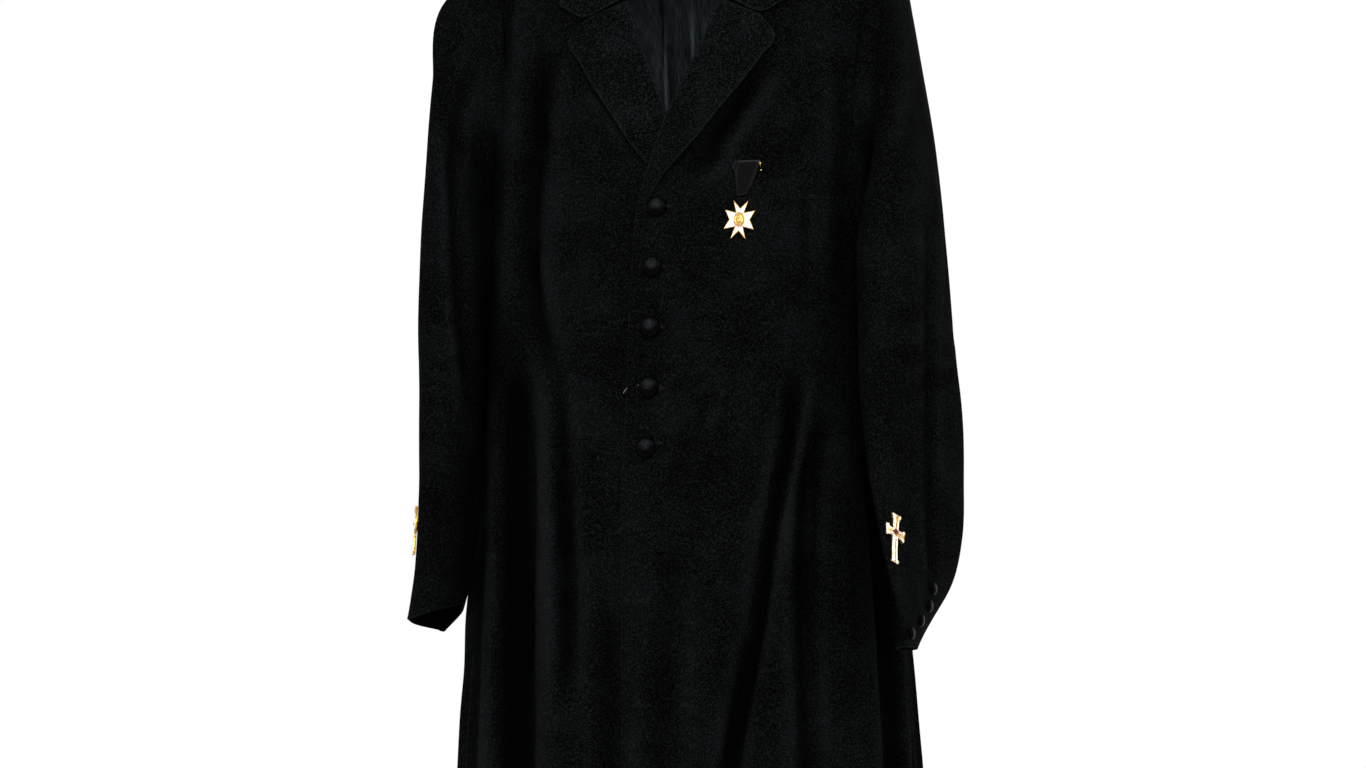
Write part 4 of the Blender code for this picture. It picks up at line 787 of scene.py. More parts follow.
def thread_piece(name, runs, radius, material, sides=6, lobes=0, pitch=1.0, groove=0.3):
    """Threads or cords as closed tubes along runs of points in millimetres, made one piece.

    A run that ends where it starts is a ring. Lobes are the strands of a twisted cord, which go
    once round it in each pitch.
    """
    verts, faces = [], []
    for run in runs:
        run = np.asarray(run, dtype=float)
        ring = np.allclose(run[0], run[-1])
        if ring:
            run = run[:-1]
        ways = np.roll(run, -1, axis=0) - np.roll(run, 1, axis=0)
        if not ring:
            ways[0], ways[-1] = run[1] - run[0], run[-1] - run[-2]
        ways /= np.linalg.norm(ways, axis=1, keepdims=True)
        side = np.cross(ways[0], (0.31, 0.77, 0.55))
        passed, base = 0.0, len(verts)
        for index, (point, way) in enumerate(zip(run, ways)):
            passed += np.linalg.norm(point - run[index - 1]) if index else 0.0
            side = side - way * (side @ way)
            side /= np.linalg.norm(side)
            other = np.cross(way, side)
            for step in range(sides):
                angle = 2.0 * math.pi * step / sides
                wound = abs(math.cos(lobes / 2.0 * angle - math.pi * lobes * passed / pitch))
                reach = radius * (1.0 - groove + groove * wound) if lobes else radius
                verts.append(point + reach * (side * math.cos(angle) + other * math.sin(angle)))
        count = len(run)
        for index in range(count if ring else count - 1):
            after = (index + 1) % count
            for step in range(sides):
                beside = (step + 1) % sides
                faces.append((base + index * sides + step, base + index * sides + beside,
                              base + after * sides + beside, base + after * sides + step))
        if not ring:
            faces.append(tuple(base + step for step in reversed(range(sides))))
            faces.append(tuple(base + (count - 1) * sides + step for step in range(sides)))
    mesh = bpy.data.meshes.new(name)
    mesh.from_pydata((np.array(verts) * MM).tolist(), [], faces)
    mesh.materials.append(material)
    mesh.shade_smooth()
    made = in_scene(name, mesh)
    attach(made, "root")


def prick_stitches(cloth, side, inset):
    """Runs of stitches beside one side of a piece of cloth, a little in from its edge."""
    points, u, v = CLOTH[cloth]
    upright = side.endswith("column")
    length = v[-1] if upright else u[-1]
    fixed = {"first_column": inset, "last_column": u[-1] - inset,
             "first_row": inset, "last_row": v[-1] - inset}[side]
    runs = []
    for middle in np.arange(6.0, length - 6.0, STITCH_STEP):
        run = []
        for off, lift in STITCH_SHAPE:
            place = middle + off * STITCH_HALF
            across, up = (fixed, place) if upright else (place, fixed)
            run.append(cloth_point(cloth, across, up, lift))
        runs.append(run)
    return runs


# The stitched sides of pieces, and how far in from the edge their stitches run.
EDGES = [("collar", "first_column", 3.4), ("collar", "last_column", 3.4)]
for hand, near, far in (("left", "first_column", "last_column"), ("right", "last_column", "first_column")):
    EDGES += [("forepart_" + hand, near, STITCH_INSET), ("skirt_" + hand, near, STITCH_INSET),
              ("skirt_" + hand, far, STITCH_INSET), ("lapel_" + hand, far, 3.4),
              ("lapel_" + hand, "last_row", 3.4), ("topsleeve_" + hand, "first_row", 5.0),
              ("undersleeve_" + hand, "first_row", 5.0)]
edge_runs = [run for node, side, inset in EDGES for run in prick_stitches(node + "_cloth", side, inset)]
thread_piece("edge_stitches", edge_runs, STITCH_RADIUS, BLACK_SILK, sides=5)


# ------------------------------------------------------------------ buttonholes
# Five holes in the left front, cut level and worked round with black silk. Pale linen thread shows
# where the lower buttons pull at their holes.
PALE_LINEN = silk_thread("pale_linen_thread", "#6E6662", "#A89D97", 0.6, 0.1)
GREY_LINEN = silk_thread("dulled_linen_thread", "#141415", "#29292A", 0.7, 0.1)
HOLE_HALF = 12.0
HOLE_GAP = 0.5
PURL_REACH = 2.3
PURL_STEP = 0.8
PURL_RADIUS = 0.42
LOOSE_RADIUS = 0.32
# A purl stitch from the cut outward: its share of the reach, and how high it stands.
SIDE_PURL = ((-0.1, 0.1), (0.1, 0.6), (0.55, 0.45), (1.0, -0.25))
END_PURL = ((-0.1, 0.1), (0.2, 0.6), (0.6, 0.45), (1.0, -0.25))
FAN_TURNS = (-60.0, -30.0, 0.0, 30.0, 60.0)
SEAM_GAP = 0.8
HOLE_PLACES = ((-1.5, -291.8), (-2.0, -350.2), (-1.5, -408.4), (-1.0, -466.4), (-1.5, -520.4))


def on_front(x, z, lift):
    """A point on the cloth in front of x and z, lifted off its face."""
    hits = []
    for name in ("forepart_left_cloth", "skirt_left_cloth", "forepart_right_cloth"):
        start, way = Vector((x * MM, -0.5, z * MM)), Vector((0.0, 1.0, 0.0))
        found, place, normal, _ = bpy.data.objects[name].ray_cast(start, way)
        if found:
            hits.append((place.y, np.array(place / MM), np.array(normal)))
    if not hits:
        return on_front(x, z - SEAM_GAP, lift)
    _, place, normal = min(hits, key=lambda hit: hit[0])
    return place + normal * lift


bpy.context.view_layer.update()
for index, (x, z) in enumerate(HOLE_PLACES, start=1):
    runs = []
    for step in np.arange(-HOLE_HALF, HOLE_HALF + 0.1, PURL_STEP):
        for way in (-1.0, 1.0):
            runs.append([on_front(x + step, z + way * (HOLE_GAP + reach * PURL_REACH), lift)
                         for reach, lift in SIDE_PURL])
    for end in (-1.0, 1.0):
        for turn in FAN_TURNS:
            fan = (math.cos(math.radians(turn)) * end, math.sin(math.radians(turn)))
            runs.append([on_front(x + end * HOLE_HALF + fan[0] * reach * PURL_REACH,
                                  z + fan[1] * (HOLE_GAP + reach * PURL_REACH), lift)
                         for reach, lift in END_PURL])
    thread_piece("buttonhole_%d" % index, runs, PURL_RADIUS, BLACK_SILK, sides=5)

# Threads beside the buttons: which are pale, and where each runs, from its near to its far end.
LOOSE_THREADS = (
    ("pale", ((-7, -466, 2.4), (-10.2, -465.2, 1.1), (-12.6, -465.4, 0.3), (-13.4, -466.4, -0.3))),
    ("grey", ((6.5, -466.4, 2.4), (10.2, -466, 1), (13, -467.4, 0.3), (13.9, -468.4, -0.3))),
    ("grey", ((6.5, -468, 2.2), (9.8, -468.3, 0.8), (12, -469, 0.2), (12.6, -469.4, -0.3))),
    ("grey", ((6, -520.6, 2.4), (9.6, -520.8, 1), (13.2, -520.2, 0.4), (15, -520.6, -0.3))),
    ("pale", ((-28, -472.9, -0.2), (-27, -471.6, 0.8), (-25.2, -469.6, 1.4), (-23.4, -468.2, 0.6))),
    ("grey", ((-7, -351, 2.4), (-10.5, -350.6, 1), (-13.6, -351, -0.3))),
    ("grey", ((6.5, -350.6, 2.4), (10.6, -350.8, 1), (13.4, -351.2, -0.3))),
    ("grey", ((-7, -409, 2.4), (-10.5, -408.6, 1), (-13.6, -409, -0.3))),
    ("grey", ((6.5, -408.6, 2.4), (10.6, -409, 1), (13.4, -409.2, -0.3))),
    ("grey", ((6.5, -291.6, 2.4), (10.6, -292, 1), (13.4, -292.2, -0.3))),
)
for tone, material in (("pale", PALE_LINEN), ("grey", GREY_LINEN)):
    runs = [[on_front(*place) for place in course] for kind, course in LOOSE_THREADS if kind == tone]
    thread_piece(tone + "_threads", runs, LOOSE_RADIUS, material)


# ------------------------------------------------------------------ covered buttons
# Domed moulds covered in black silk twill, gathered underneath and sewn on by a cloth shank: five
# down the front, two at the back of the waist and four smaller ones up each cuff.
BUTTON_WEAVE = 0.9 * MM
BUTTON_SLANT = 38.0
BUTTON_GRAIN = 2.6 * MM
# Radius, height of the rim, height of the dome and length of the shank, in millimetres.
FRONT_BUTTON = (10.0, 1.5, 3.9, 1.9)
CUFF_BUTTON = (5.5, 1.1, 2.2, 1.3)
DOME_STEPS = 9
BUTTON_SIDES = 40
# The painted highlight on the crown: its reach, and how far above the middle it lies, towards the light from
# above, as shares of the radius.
HIGHLIGHT_REACH = 0.62
HIGHLIGHT_RISE = 0.24


def button_cloth(name):
    """Tightly drawn silk twill, near black, with fine slanting lines and a painted highlight speckled over
    the upper crown.
    """
    material, tree, output = new_material(name)
    place = add(tree, "ShaderNodeTexCoord").outputs
    slanted = add(tree, "ShaderNodeMapping", {"Rotation": (0.0, math.radians(BUTTON_SLANT), 0.0)},
                  {"Vector": place["Object"]})
    lines = {"Scale": WAVE_BAND / BUTTON_WEAVE, "Distortion": 0.8, "Detail": 1.0}
    twill = add(tree, "ShaderNodeTexWave", lines, {"Vector": slanted.outputs["Vector"]})
    wear_and_sheen_tone = noise(tree, place["Object"], 1.0 / BUTTON_GRAIN, 3.0, 0.6)
    # Painted highlight: the crown's painted share, broken up by a speckling noise.
    share = reckon(tree, "MULTIPLY", spread(tree, wear_and_sheen_tone, 0.35, 0.65, 0.25, 1.0), painted(tree, "rub_and_painted_highlight"),
                   clamp=True)
    clad(tree, output, tint(tree, share, "#010101", "#1F2225"), twill.outputs["Fac"], (0.35, 0.2),
         {"Roughness": 0.32, "Specular IOR Level": 0.018})
    return material


BUTTON_CLOTH = button_cloth("silk_twill_over_mould")


def pick_faces(piece, wanted):
    """In edit mode, selects only the faces that the wanted test chooses."""
    bpy.ops.mesh.select_mode(type="FACE")
    bpy.ops.mesh.select_all(action="DESELECT")
    shape = bmesh.from_edit_mesh(piece.data)
    for face in shape.faces:
        face.select_set(wanted(face))
    bmesh.update_edit_mesh(piece.data)


def covered_button(name, size):
    """A button that faces up, with its dome's top at the origin."""
    radius, rim, dome, shank = size
    bpy.ops.mesh.primitive_cylinder_add(vertices=BUTTON_SIDES, radius=radius * MM, depth=rim * MM,
                                        location=(0.0, 0.0, -(dome + rim / 2.0) * MM))
    button = bpy.context.object
    button.name = name
    bpy.ops.object.transform_apply(location=True)
    bpy.ops.object.mode_set(mode="EDIT")
    pick_faces(button, lambda face: face.normal.z > 0.9)
    reach, height = 1.0, 0.0
    for step in range(1, DOME_STEPS + 1):
        angle = math.radians(90.0 * step / (DOME_STEPS + 0.6))
        bpy.ops.mesh.inset(thickness=(reach - math.cos(angle)) * radius * MM,
                           depth=(math.sin(angle) - height) * dome * MM)
        reach, height = math.cos(angle), math.sin(angle)
    pick_faces(button, lambda face: face.normal.z < -0.9)
    bpy.ops.mesh.inset(thickness=0.12 * radius * MM, depth=0.25 * MM)
    bpy.ops.mesh.inset(thickness=0.48 * radius * MM, depth=0.0)
    bpy.ops.mesh.inset(thickness=0.06 * radius * MM, depth=shank * 0.7 * MM)
    bpy.ops.object.mode_set(mode="OBJECT")
    round_edges(button, 0.35, 50.0)
    button.data.shade_smooth()
    button.data.materials.append(BUTTON_CLOTH)
    # Painted highlight: the upper middle of the dome is painted paler, where the light from above falls.
    rub_and_painted_highlight = button.data.attributes.new("rub_and_painted_highlight", "FLOAT", "POINT")
    for vert in button.data.vertices:
        if vert.co.z > -dome * MM:
            off = math.hypot(vert.co.x, vert.co.y - HIGHLIGHT_RISE * radius * MM) / (radius * MM)
            rub_and_painted_highlight.data[vert.index].value = max(1.0 - (off / HIGHLIGHT_REACH) ** 2, 0.0)
    return button


def button_seat(node, outward):
    """Where a button's dome ends and the way it faces, read from its node."""
    points = node_points(node)
    middle = points.mean(axis=0)
    facing = toward(own_ways(points)[:, 0], outward)
    return Vector(middle + facing * ((points - middle) @ facing).max()), Vector(facing)


def faced(place, facing):
    """The matrix that moves what stands at the origin to a place, and turns its top to face a way."""
    return Matrix.Translation(place) @ facing.to_track_quat("Z", "Y").to_matrix().to_4x4()


def sew_on(template, node, outward):
    """A copy of the button in a node's place."""
    button = in_scene(node + "_covered", template.data.copy())
    button.data.transform(faced(*button_seat(node, outward)))
    dress(button, node)


front_button = covered_button("front_button_model", FRONT_BUTTON)
for number in range(1, 6):
    sew_on(front_button, "front_button_%d" % number, (0.0, -1.0, 0.0))
for hand in ("left", "right"):
    sew_on(front_button, "waist_button_" + hand, (0.0, 1.0, 0.0))
cuff_button = covered_button("cuff_button_model", CUFF_BUTTON)
for number in range(1, 5):
    sew_on(cuff_button, "cuff_button_left_%d" % number, (1.0, 0.0, 0.0))
    sew_on(cuff_button, "cuff_button_right_%d" % number, (-1.0, -1.0, 0.0))
bpy.data.objects.remove(front_button)
bpy.data.objects.remove(cuff_button)


# ------------------------------------------------------------------ badge on the left breast
# An eight-pointed cross in white enamel on gilt brass, with a gilt boss, hung from a folded ribbed
# silk ribbon on a gilt bar pin.
TARNISH_GRAIN = 2.2 * MM
ENAMEL_GRAIN = 5.0 * MM
RIB_PITCH = 1.1 * MM


def metal(name, bright, dull, roughness):
    """Gilt or gilt thread: a bright metal, duller and darker in patches where it has tarnished."""
    material, tree, output = new_material(name)
    place = add(tree, "ShaderNodeTexCoord").outputs
    tarnish = noise(tree, place["Object"], 1.0 / TARNISH_GRAIN, 4.0, 0.6)
    share = spread(tree, tarnish, 0.42, 0.7)
    gloss = add(tree, "ShaderNodeMapRange", {"To Min": roughness, "To Max": min(roughness + 0.22, 1.0)},
                {"Value": share})
    clad(tree, output, tint(tree, share, bright, dull), tarnish, (0.25, 0.1), {"Metallic": 1.0},
         {"Roughness": gloss.outputs[0]})
    return material


def enamel_material(name):
    """Opaque white glass fused to metal: glossy, faintly pink and cloudy, with a slow ripple."""
    material, tree, output = new_material(name)
    place = add(tree, "ShaderNodeTexCoord").outputs
    cloudy = noise(tree, place["Object"], 1.0 / ENAMEL_GRAIN, 3.0)
    clad(tree, output, tint(tree, cloudy, "#EEE4DC", "#DCC6BF"), cloudy, (0.15, 0.2),
         {"Roughness": 0.14, "Specular IOR Level": 0.5})
    return material


def ribbon_material(name):
    """Ribbed silk ribbon: fine cords of weft across it, black, with a painted shine on each rib, rubbed paler
    at its edges and with a painted sheen over its fold.
    """
    material, tree, output = new_material(name)
    place = add(tree, "ShaderNodeTexCoord").outputs
    ribs = add(tree, "ShaderNodeTexWave", {"bands_direction": "Y", "Scale": WAVE_BAND / RIB_PITCH},
               {"Vector": place["UV"]}).outputs["Fac"]
    # Painted shine: each rib is painted a little paler.
    share = reckon(tree, "MULTIPLY_ADD", ribs, 0.2, painted(tree, "rub_and_painted_highlight"), clamp=True)
    clad(tree, output, tint(tree, share, "#030303", "#242427"), ribs, (0.6, 0.25),
         {"Roughness": 0.5, "Specular IOR Level": 0.02})
    return material


GILT = metal("gilt_brass", "#E6C274", "#94702F", 0.28)
ENAMEL = enamel_material("white_vitreous_enamel")
RIBBON = ribbon_material("ribbed_silk_ribbon")
# The ribbon from its tip in front, up over the pin and down behind: the left and right ends of each
# row across the chest and in height, and how far the row stands in front of the ribbon's own plane.
RIBBON_ROWS = (
    ((79.2, -283.2), (87.8, -281.4), 0.7),
    ((77.1, -271.1), (92.1, -269.2), 1.0),
    ((75.9, -259.5), (96.0, -257.4), 1.6),
    ((77.0, -251.8), (98.4, -251.0), 1.9),
    ((77.4, -248.6), (98.9, -248.2), 1.5),
    ((73.4, -248.8), (98.8, -248.4), -0.3),
    ((72.3, -251.6), (98.0, -252.0), -0.6),
    ((75.2, -262.0), (95.0, -263.0), -0.6),
    ((77.6, -272.0), (91.5, -273.0), -0.6),
    ((80.2, -281.0), (87.2, -280.6), -0.4),
)
# Above this height, where it folds over the bar, the ribbon is painted paler as a painted sheen.
FOLD_HEIGHT = -249.6
FOLD_SHEEN = 0.9


def node_plane(node, outward):
    """Middle of a flat node, in millimetres, and the way it faces."""
    points = node_points(node) / MM
    return (points.min(axis=0) + points.max(axis=0)) / 2.0, toward(own_ways(points)[:, 0], outward)


def badge_ribbon():
    """The ribbon as one folded strip, laid along its rows."""
    middle, facing = node_plane("badge_ribbon", (0.0, -1.0, 0.0))
    rows = []
    for (x0, z0), (x1, z1), lift in RIBBON_ROWS:
        row = []
        for share in np.linspace(0.0, 1.0, 5):
            x, z = x0 + (x1 - x0) * share, z0 + (z1 - z0) * share
            y = middle[1] - ((x - middle[0]) * facing[0] + (z - middle[2]) * facing[2]) / facing[1]
            row.append(np.array((x, y, z)) + facing * (lift + 0.25 * math.sin(math.pi * share)))
        rows.append(row)
    points, u, v = fine_grid(np.array(rows), 0.8)
    piece = wall_of_cloth("badge_ribbon_folded", points, u, v, np.zeros(points.shape[:2]), (), (RIBBON,),
                          thick=0.35, edge_round=0.0, hemmed=False)
    rub_and_painted_highlight = piece.data.attributes["rub_and_painted_highlight"].data
    # Painted sheen over the fold at the top.
    for vert in piece.data.vertices:
        if vert.co.z > FOLD_HEIGHT * MM:
            rub_and_painted_highlight[vert.index].value = FOLD_SHEEN
    dress(piece, "badge_ribbon")


def soften(piece, width, segments):
    """Rounds the active piece's sharp edges by a width in millimetres, and shades it."""
    round_edges(piece, width, 50.0, segments)
    piece.data.shade_smooth()
    bpy.ops.object.shade_smooth_by_angle(angle=math.radians(35.0))


def joined(parts):
    """The first part with the others joined to it and its transform applied."""
    select_only(*parts)
    bpy.ops.object.join()
    bpy.ops.object.transform_apply(location=True, rotation=True, scale=True)
    return parts[0]


def gild(piece, node):
    """A piece of gilt metal that stands for its node."""
    piece.data.materials.clear()
    piece.data.materials.append(GILT)
    piece.data.shade_smooth()
    dress(piece, node)


# A quarter of the cross's outline, from the notch of its upper arm round to the notch of its right
# one, as places across and up from its middle.
CROSS_QUARTER = ((0.0, 11.2), (7.3, 19.3), (3.8, 7.0), (14.6, 9.5), (9.9, 0.0))
CROSS_LEAN = 2.0


def badge_cross():
    """The cross as one plate, with enamel sunk in its face and domed inside a gilt rim."""
    middle, facing = node_plane("badge_cross", (0.0, -1.0, 0.0))
    depths = (node_points("badge_cross") / MM - middle) @ facing
    facing = Vector(facing)
    across = Vector((0.0, 0.0, 1.0)).cross(facing).normalized()
    up = facing.cross(across)
    lean = Matrix.Rotation(math.radians(CROSS_LEAN), 3, -facing)
    across, up = lean @ across, lean @ up
    upper = CROSS_QUARTER[1:] + tuple((x, -z) for x, z in CROSS_QUARTER[-2:0:-1])
    notch = CROSS_QUARTER[0][1]
    outline = ((0.0, notch),) + upper + ((0.0, -notch),) + tuple((-x, -z) for x, z in upper)
    bpy.ops.mesh.primitive_circle_add(vertices=len(outline), radius=10.0 * MM, fill_type="NGON")
    cross = bpy.context.object
    cross.name = "badge_cross_enamelled"
    back = Vector(middle) + facing * depths.min()
    for vert, (x, z) in zip(cross.data.vertices, reversed(outline)):
        vert.co = (back + across * x + up * z) * MM
    cross.data.materials.append(GILT)
    cross.data.materials.append(ENAMEL)
    bpy.ops.object.mode_set(mode="EDIT")
    bpy.ops.mesh.select_all(action="SELECT")
    rise = facing * (depths.max() - depths.min()) * MM
    bpy.ops.mesh.extrude_region_move(TRANSFORM_OT_translate={"value": rise})
    bpy.ops.mesh.select_all(action="SELECT")
    bpy.ops.mesh.normals_make_consistent(inside=False)
    pick_faces(cross, lambda face: face.normal.dot(facing) > 0.9)
    bpy.ops.mesh.inset(thickness=0.45 * MM, depth=0.0)
    bpy.ops.mesh.inset(thickness=0.12 * MM, depth=-0.35 * MM)
    cross.active_material_index = 1
    bpy.ops.object.material_slot_assign()
    bpy.ops.mesh.inset(thickness=0.6 * MM, depth=0.33 * MM)
    bpy.ops.object.mode_set(mode="OBJECT")
    soften(cross, 0.12, 1)
    dress(cross, "badge_cross")


# The boss is taller than wide: a plain dome, raised in steps of a width and a height, with petals
# inside a ring of beads. Beads and petals each have a count, a radius, and their ring's radius and
# height.
BOSS_TALL = 1.3
BOSS_RADIUS = 5.2
BOSS_STEPS = ((0.3, 0.25), (0.9, 0.0), (0.3, -0.35), (0.5, 0.2), (0.9, 0.35), (0.9, 0.2), (0.8, 0.1))
BEADS = (26, 0.62, BOSS_RADIUS - 0.75, 1.25)
PETALS = (6, 1.15, 1.9, 1.55)


def ring_places(count, reach, height):
    """The angle and place of each of a count of things round a ring."""
    for index in range(count):
        angle = 2.0 * math.pi * index / count
        yield angle, (reach * MM * math.cos(angle), reach * MM * math.sin(angle), height * MM)


def badge_boss():
    """A stepped dome with its beads and petals, set on the middle of the cross."""
    middle, facing = node_plane("badge_boss", (0.0, -1.0, 0.0))
    bpy.ops.mesh.primitive_cylinder_add(vertices=40, radius=BOSS_RADIUS * MM, depth=2.0 * MM)
    parts = [bpy.context.object]
    parts[0].name = "badge_boss_beaded"
    bpy.ops.object.mode_set(mode="EDIT")
    pick_faces(parts[0], lambda face: face.normal.z > 0.9)
    for thickness, depth in BOSS_STEPS:
        bpy.ops.mesh.inset(thickness=thickness * MM, depth=depth * MM)
    bpy.ops.object.mode_set(mode="OBJECT")
    count, radius, reach, height = BEADS
    for _, place in ring_places(count, reach, height):
        bpy.ops.mesh.primitive_ico_sphere_add(subdivisions=2, radius=radius * MM, location=place)
        parts.append(bpy.context.object)
    count, radius, reach, height = PETALS
    for angle, place in ring_places(count, reach, height):
        bpy.ops.mesh.primitive_uv_sphere_add(segments=12, ring_count=8, radius=radius * MM, location=place,
                                             rotation=(0.0, 0.0, angle), scale=(1.0, 0.55, 0.55))
        parts.append(bpy.context.object)
    boss = joined(parts)
    boss.data.transform(Matrix.Diagonal((1.0, BOSS_TALL, 1.0, 1.0)))
    boss.data.transform(faced(Vector(middle) * MM, Vector(facing)))
    gild(boss, "badge_boss")


# The bar turns with the chest and ends inside the ribbon's fold. Its balls have a place across, a
# height and a radius, and lean back as they fall.
PIN_TURN = 4.5
PIN_RADIUS = 0.6
PIN_SHORTER = 10.6
PIN_SHIFT = (4.7, -0.45, -2.0)
PIN_LEAN = 0.27
PIN_BALLS = ((99.6, -251.2, 1.0), (99.9, -253.4, 0.5), (101.0, -257.8, 0.8))


def badge_pin():
    """A round bar with a ball at its open end and the clasp that holds the pin's point."""
    low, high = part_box("badge_pin")
    middle = (low + high) / 2.0
    bpy.ops.mesh.primitive_cylinder_add(vertices=16, radius=PIN_RADIUS * MM,
                                        depth=high.x - low.x - PIN_SHORTER * MM,
                                        location=middle + Vector(PIN_SHIFT) * MM,
                                        rotation=(0.0, math.radians(90.0), math.radians(PIN_TURN)))
    parts = [bpy.context.object]
    parts[0].name = "badge_pin_bar"
    for x, z, size in PIN_BALLS:
        y = middle.y / MM - 0.1 + (z - middle.z / MM) * PIN_LEAN
        bpy.ops.mesh.primitive_uv_sphere_add(segments=16, ring_count=10, radius=size * MM,
                                             location=(x * MM, y * MM, z * MM), scale=(0.8, 0.8, 1.25))
        parts.append(bpy.context.object)
    gild(joined(parts), "badge_pin")


badge_pin()
badge_ribbon()
badge_cross()
badge_boss()


# ------------------------------------------------------------------ crosses on the sleeves
# A Latin cross on each lower sleeve, padded and worked over in gold thread, with two rows of
# twisted bullion cord round it and a dark red centre.
BULLION_PALE = metal("silver_gilt_bullion_cord", "#FAF1E0", "#CDB083", 0.34)
BULLION_GOLD = metal("gold_passing_thread", "#D9AE55", "#7E5420", 0.36)
CRIMSON_SILK = silk_thread("crimson_silk", "#3C0A0C", "#6E1A18", 0.5)
CORD_RADIUS = 0.85
CORD_PITCH = 2.6
CORD_STEP = 0.42
STITCH_PITCH = 0.78
BAR_HALF = 3.4
# The filling lies inside the cords by this margin, and takes no stitch shorter than this.
FILLING_MARGIN = 2.0
SHORTEST_STITCH = 0.8
CENTRE_REACH = 3.6
CENTRE_PLACES = np.arange(-3.1, 3.2, 0.7)
# A face whose slope along the outward way is less than this isn't worked.
WORKED_SLOPE = 0.62
FILLING_RADIUS = 0.46
CENTRE_RADIUS = 0.45
# How far in from the rim each cord lies, and how high; and the stitches' courses, as shares of
# their length and heights.
CORD_SEATS = ((0.55, -0.1), (2.05, 0.25))
FILLING_SHAPE = ((0.0, -0.1), (0.25, 0.5), (0.5, 0.75), (0.75, 0.5), (1.0, -0.1))
CENTRE_SHAPE = ((-1.0, -0.2), (-0.4, 0.7), (0.4, 0.7), (1.0, -0.2))


def outer_faces(node, outward):
    """The worked face of a sleeve cross, with its middle and the ways along arms, shaft and out."""
    shape = bmesh.new()
    shape.from_mesh(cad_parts[node].data)
    bmesh.ops.remove_doubles(shape, verts=shape.verts, dist=0.01 * MM)
    points = np.array([vert.co for vert in shape.verts])
    middle = points.mean(axis=0)
    ways = own_ways(points)
    facing = Vector(toward(ways[:, 0], outward))
    shaft = Vector(toward(ways[:, 2], (0.0, 0.0, 1.0)))
    arms = shaft.cross(facing)
    away = [face for face in shape.faces if face.normal.dot(facing) < WORKED_SLOPE]
    bmesh.ops.delete(shape, geom=away, context="FACES")
    return shape, Vector(middle), arms, shaft, facing


def rim_loop(shape):
    """The points round a sheet, in order, a short even step apart."""
    rim = [edge for edge in shape.edges if len(edge.link_faces) == 1]
    loop = [rim[0].verts[0], rim[0].verts[1]]
    while loop[-1] is not loop[0]:
        near = [edge.other_vert(loop[-1]) for edge in loop[-1].link_edges if len(edge.link_faces) == 1]
        loop.append(next(vert for vert in near if vert is not loop[-2]))
    corners = np.array([vert.co / MM for vert in loop])
    lengths = np.concatenate([[0.0], np.cumsum(np.linalg.norm(np.diff(corners, axis=0), axis=1))])
    places = np.linspace(0.0, lengths[-1], int(lengths[-1] / CORD_STEP) + 1)
    return np.stack([np.interp(places, lengths, corners[:, axis]) for axis in range(3)], axis=1)


def padded_ground(node):
    """The pad under the gold work: a merged copy of the node with its edges rounded over."""
    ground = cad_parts[node].copy()
    ground.data = ground.data.copy()
    ground.name = node + "_ground"
    bpy.context.scene.collection.objects.link(ground)
    ground.data.materials.clear()
    ground.data.materials.append(BULLION_GOLD)
    select_only(ground)
    bpy.ops.object.mode_set(mode="EDIT")
    bpy.ops.mesh.select_all(action="SELECT")
    bpy.ops.mesh.remove_doubles(threshold=0.01 * MM)
    bpy.ops.mesh.dissolve_limited(angle_limit=math.radians(4.0))
    bpy.ops.object.mode_set(mode="OBJECT")
    soften(ground, 0.5, 2)
    return ground


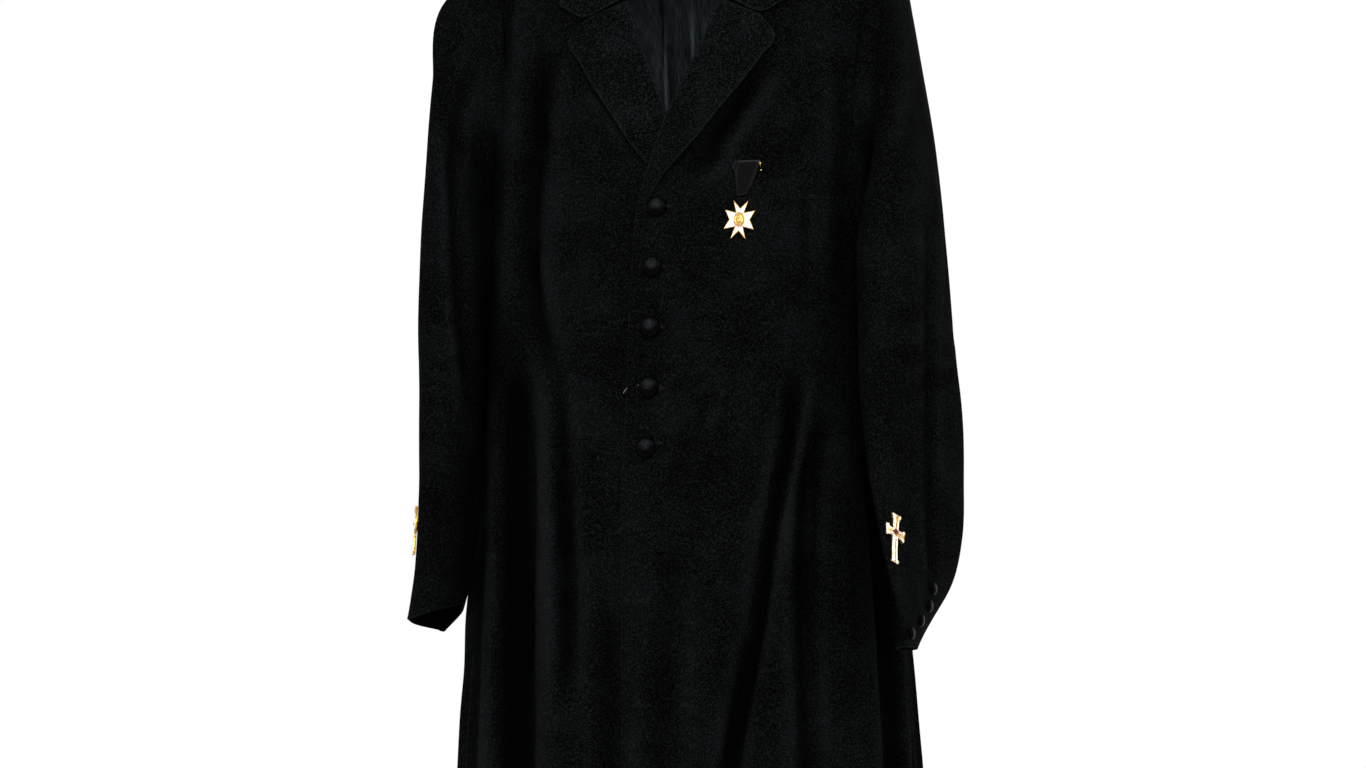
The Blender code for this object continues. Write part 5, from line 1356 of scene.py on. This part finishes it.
def sleeve_cross(hand, outward):
    """Cords round a cross, filling stitches over its arms and shaft, its centre and its pad."""
    node = "sleeve_cross_" + hand
    shape, middle, arms, shaft, facing = outer_faces(node, outward)
    tree = BVHTree.FromBMesh(shape)
    rim = rim_loop(shape)[:-1]
    near = [tree.find_nearest(Vector(point) * MM) for point in rim]
    normals = np.array([found[1] for found in near])
    ahead = np.roll(rim, -1, axis=0) - np.roll(rim, 1, axis=0)
    ahead /= np.linalg.norm(ahead, axis=1, keepdims=True)
    inward = np.cross(normals, ahead)
    centre = np.array(middle) / MM
    probe = [tree.find_nearest(Vector(point + way) * MM)[3] for point, way in zip(rim, inward)]
    other = [tree.find_nearest(Vector(point - way) * MM)[3] for point, way in zip(rim, inward)]
    inward = inward if sum(probe) < sum(other) else -inward
    cords = []
    for inset, lift in CORD_SEATS:
        ring = rim + inward * inset + normals * lift
        for _ in range(3):
            ring = (np.roll(ring, 1, axis=0) + 2.0 * ring + np.roll(ring, -1, axis=0)) / 4.0
        cords.append(np.concatenate([ring, ring[:1]]))
    thread_piece(node + "_cords", cords, CORD_RADIUS, BULLION_PALE, 10, 2, CORD_PITCH, 0.34)

    def on_cross(along_arms, along_shaft, lift):
        """A point on the worked face, lifted off it, or None beyond its rim."""
        start = middle + (arms * along_arms + shaft * along_shaft) * MM + facing * 0.03
        place, normal = tree.ray_cast(start, -facing)[:2]
        return None if place is None else np.array(place / MM) + np.array(normal) * lift

    flat = np.stack([(rim - centre) @ np.array(arms), (rim - centre) @ np.array(shaft)], axis=1)
    junction = float(np.mean(flat[np.abs(flat[:, 0]) > 0.8 * np.abs(flat[:, 0]).max()][:, 1]))

    def stitches(levels, level_axis):
        """Stitches right across the cross, one at each level along an axis."""
        runs = []
        for level in levels:
            ends = []
            for a, b in zip(flat, np.roll(flat, -1, axis=0)):
                if (a[level_axis] - level) * (b[level_axis] - level) < 0.0:
                    t = (level - a[level_axis]) / (b[level_axis] - a[level_axis])
                    ends.append((a + (b - a) * t)[1 - level_axis])
            if len(ends) < 2:
                continue
            low, high = min(ends) + FILLING_MARGIN, max(ends) - FILLING_MARGIN
            if high - low < SHORTEST_STITCH:
                continue
            run = []
            for share, lift in FILLING_SHAPE:
                place = (low + (high - low) * share, level)
                run.append(on_cross(*(place if level_axis == 1 else place[::-1]), lift))
            if all(point is not None for point in run):
                runs.append(run)
        return runs

    heights = np.arange(flat[:, 1].min() + 1.6, flat[:, 1].max() - 1.5, STITCH_PITCH)
    heights = [level for level in heights if abs(level - junction) > BAR_HALF]
    widths = np.arange(flat[:, 0].min() + 1.6, flat[:, 0].max() - 1.5, STITCH_PITCH)
    widths = [level for level in widths if abs(level) > BAR_HALF]
    runs = stitches(heights, 1) + stitches(widths, 0)
    thread_piece(node + "_stitches", runs, FILLING_RADIUS, BULLION_GOLD)

    centre_runs = []
    for off in CENTRE_PLACES:
        reach = CENTRE_REACH - abs(off)
        run = [on_cross(off + share * reach * 0.2, junction + share * reach, lift)
               for share, lift in CENTRE_SHAPE]
        centre_runs.append(run)
    thread_piece(node + "_centre", centre_runs, CENTRE_RADIUS, CRIMSON_SILK)

    ground = padded_ground(node)
    dress(ground, node)
    shape.free()


sleeve_cross("left", (1.0, -0.4, 0.0))
sleeve_cross("right", (-1.0, 0.0, 0.0))


bpy.context.view_layer.update()
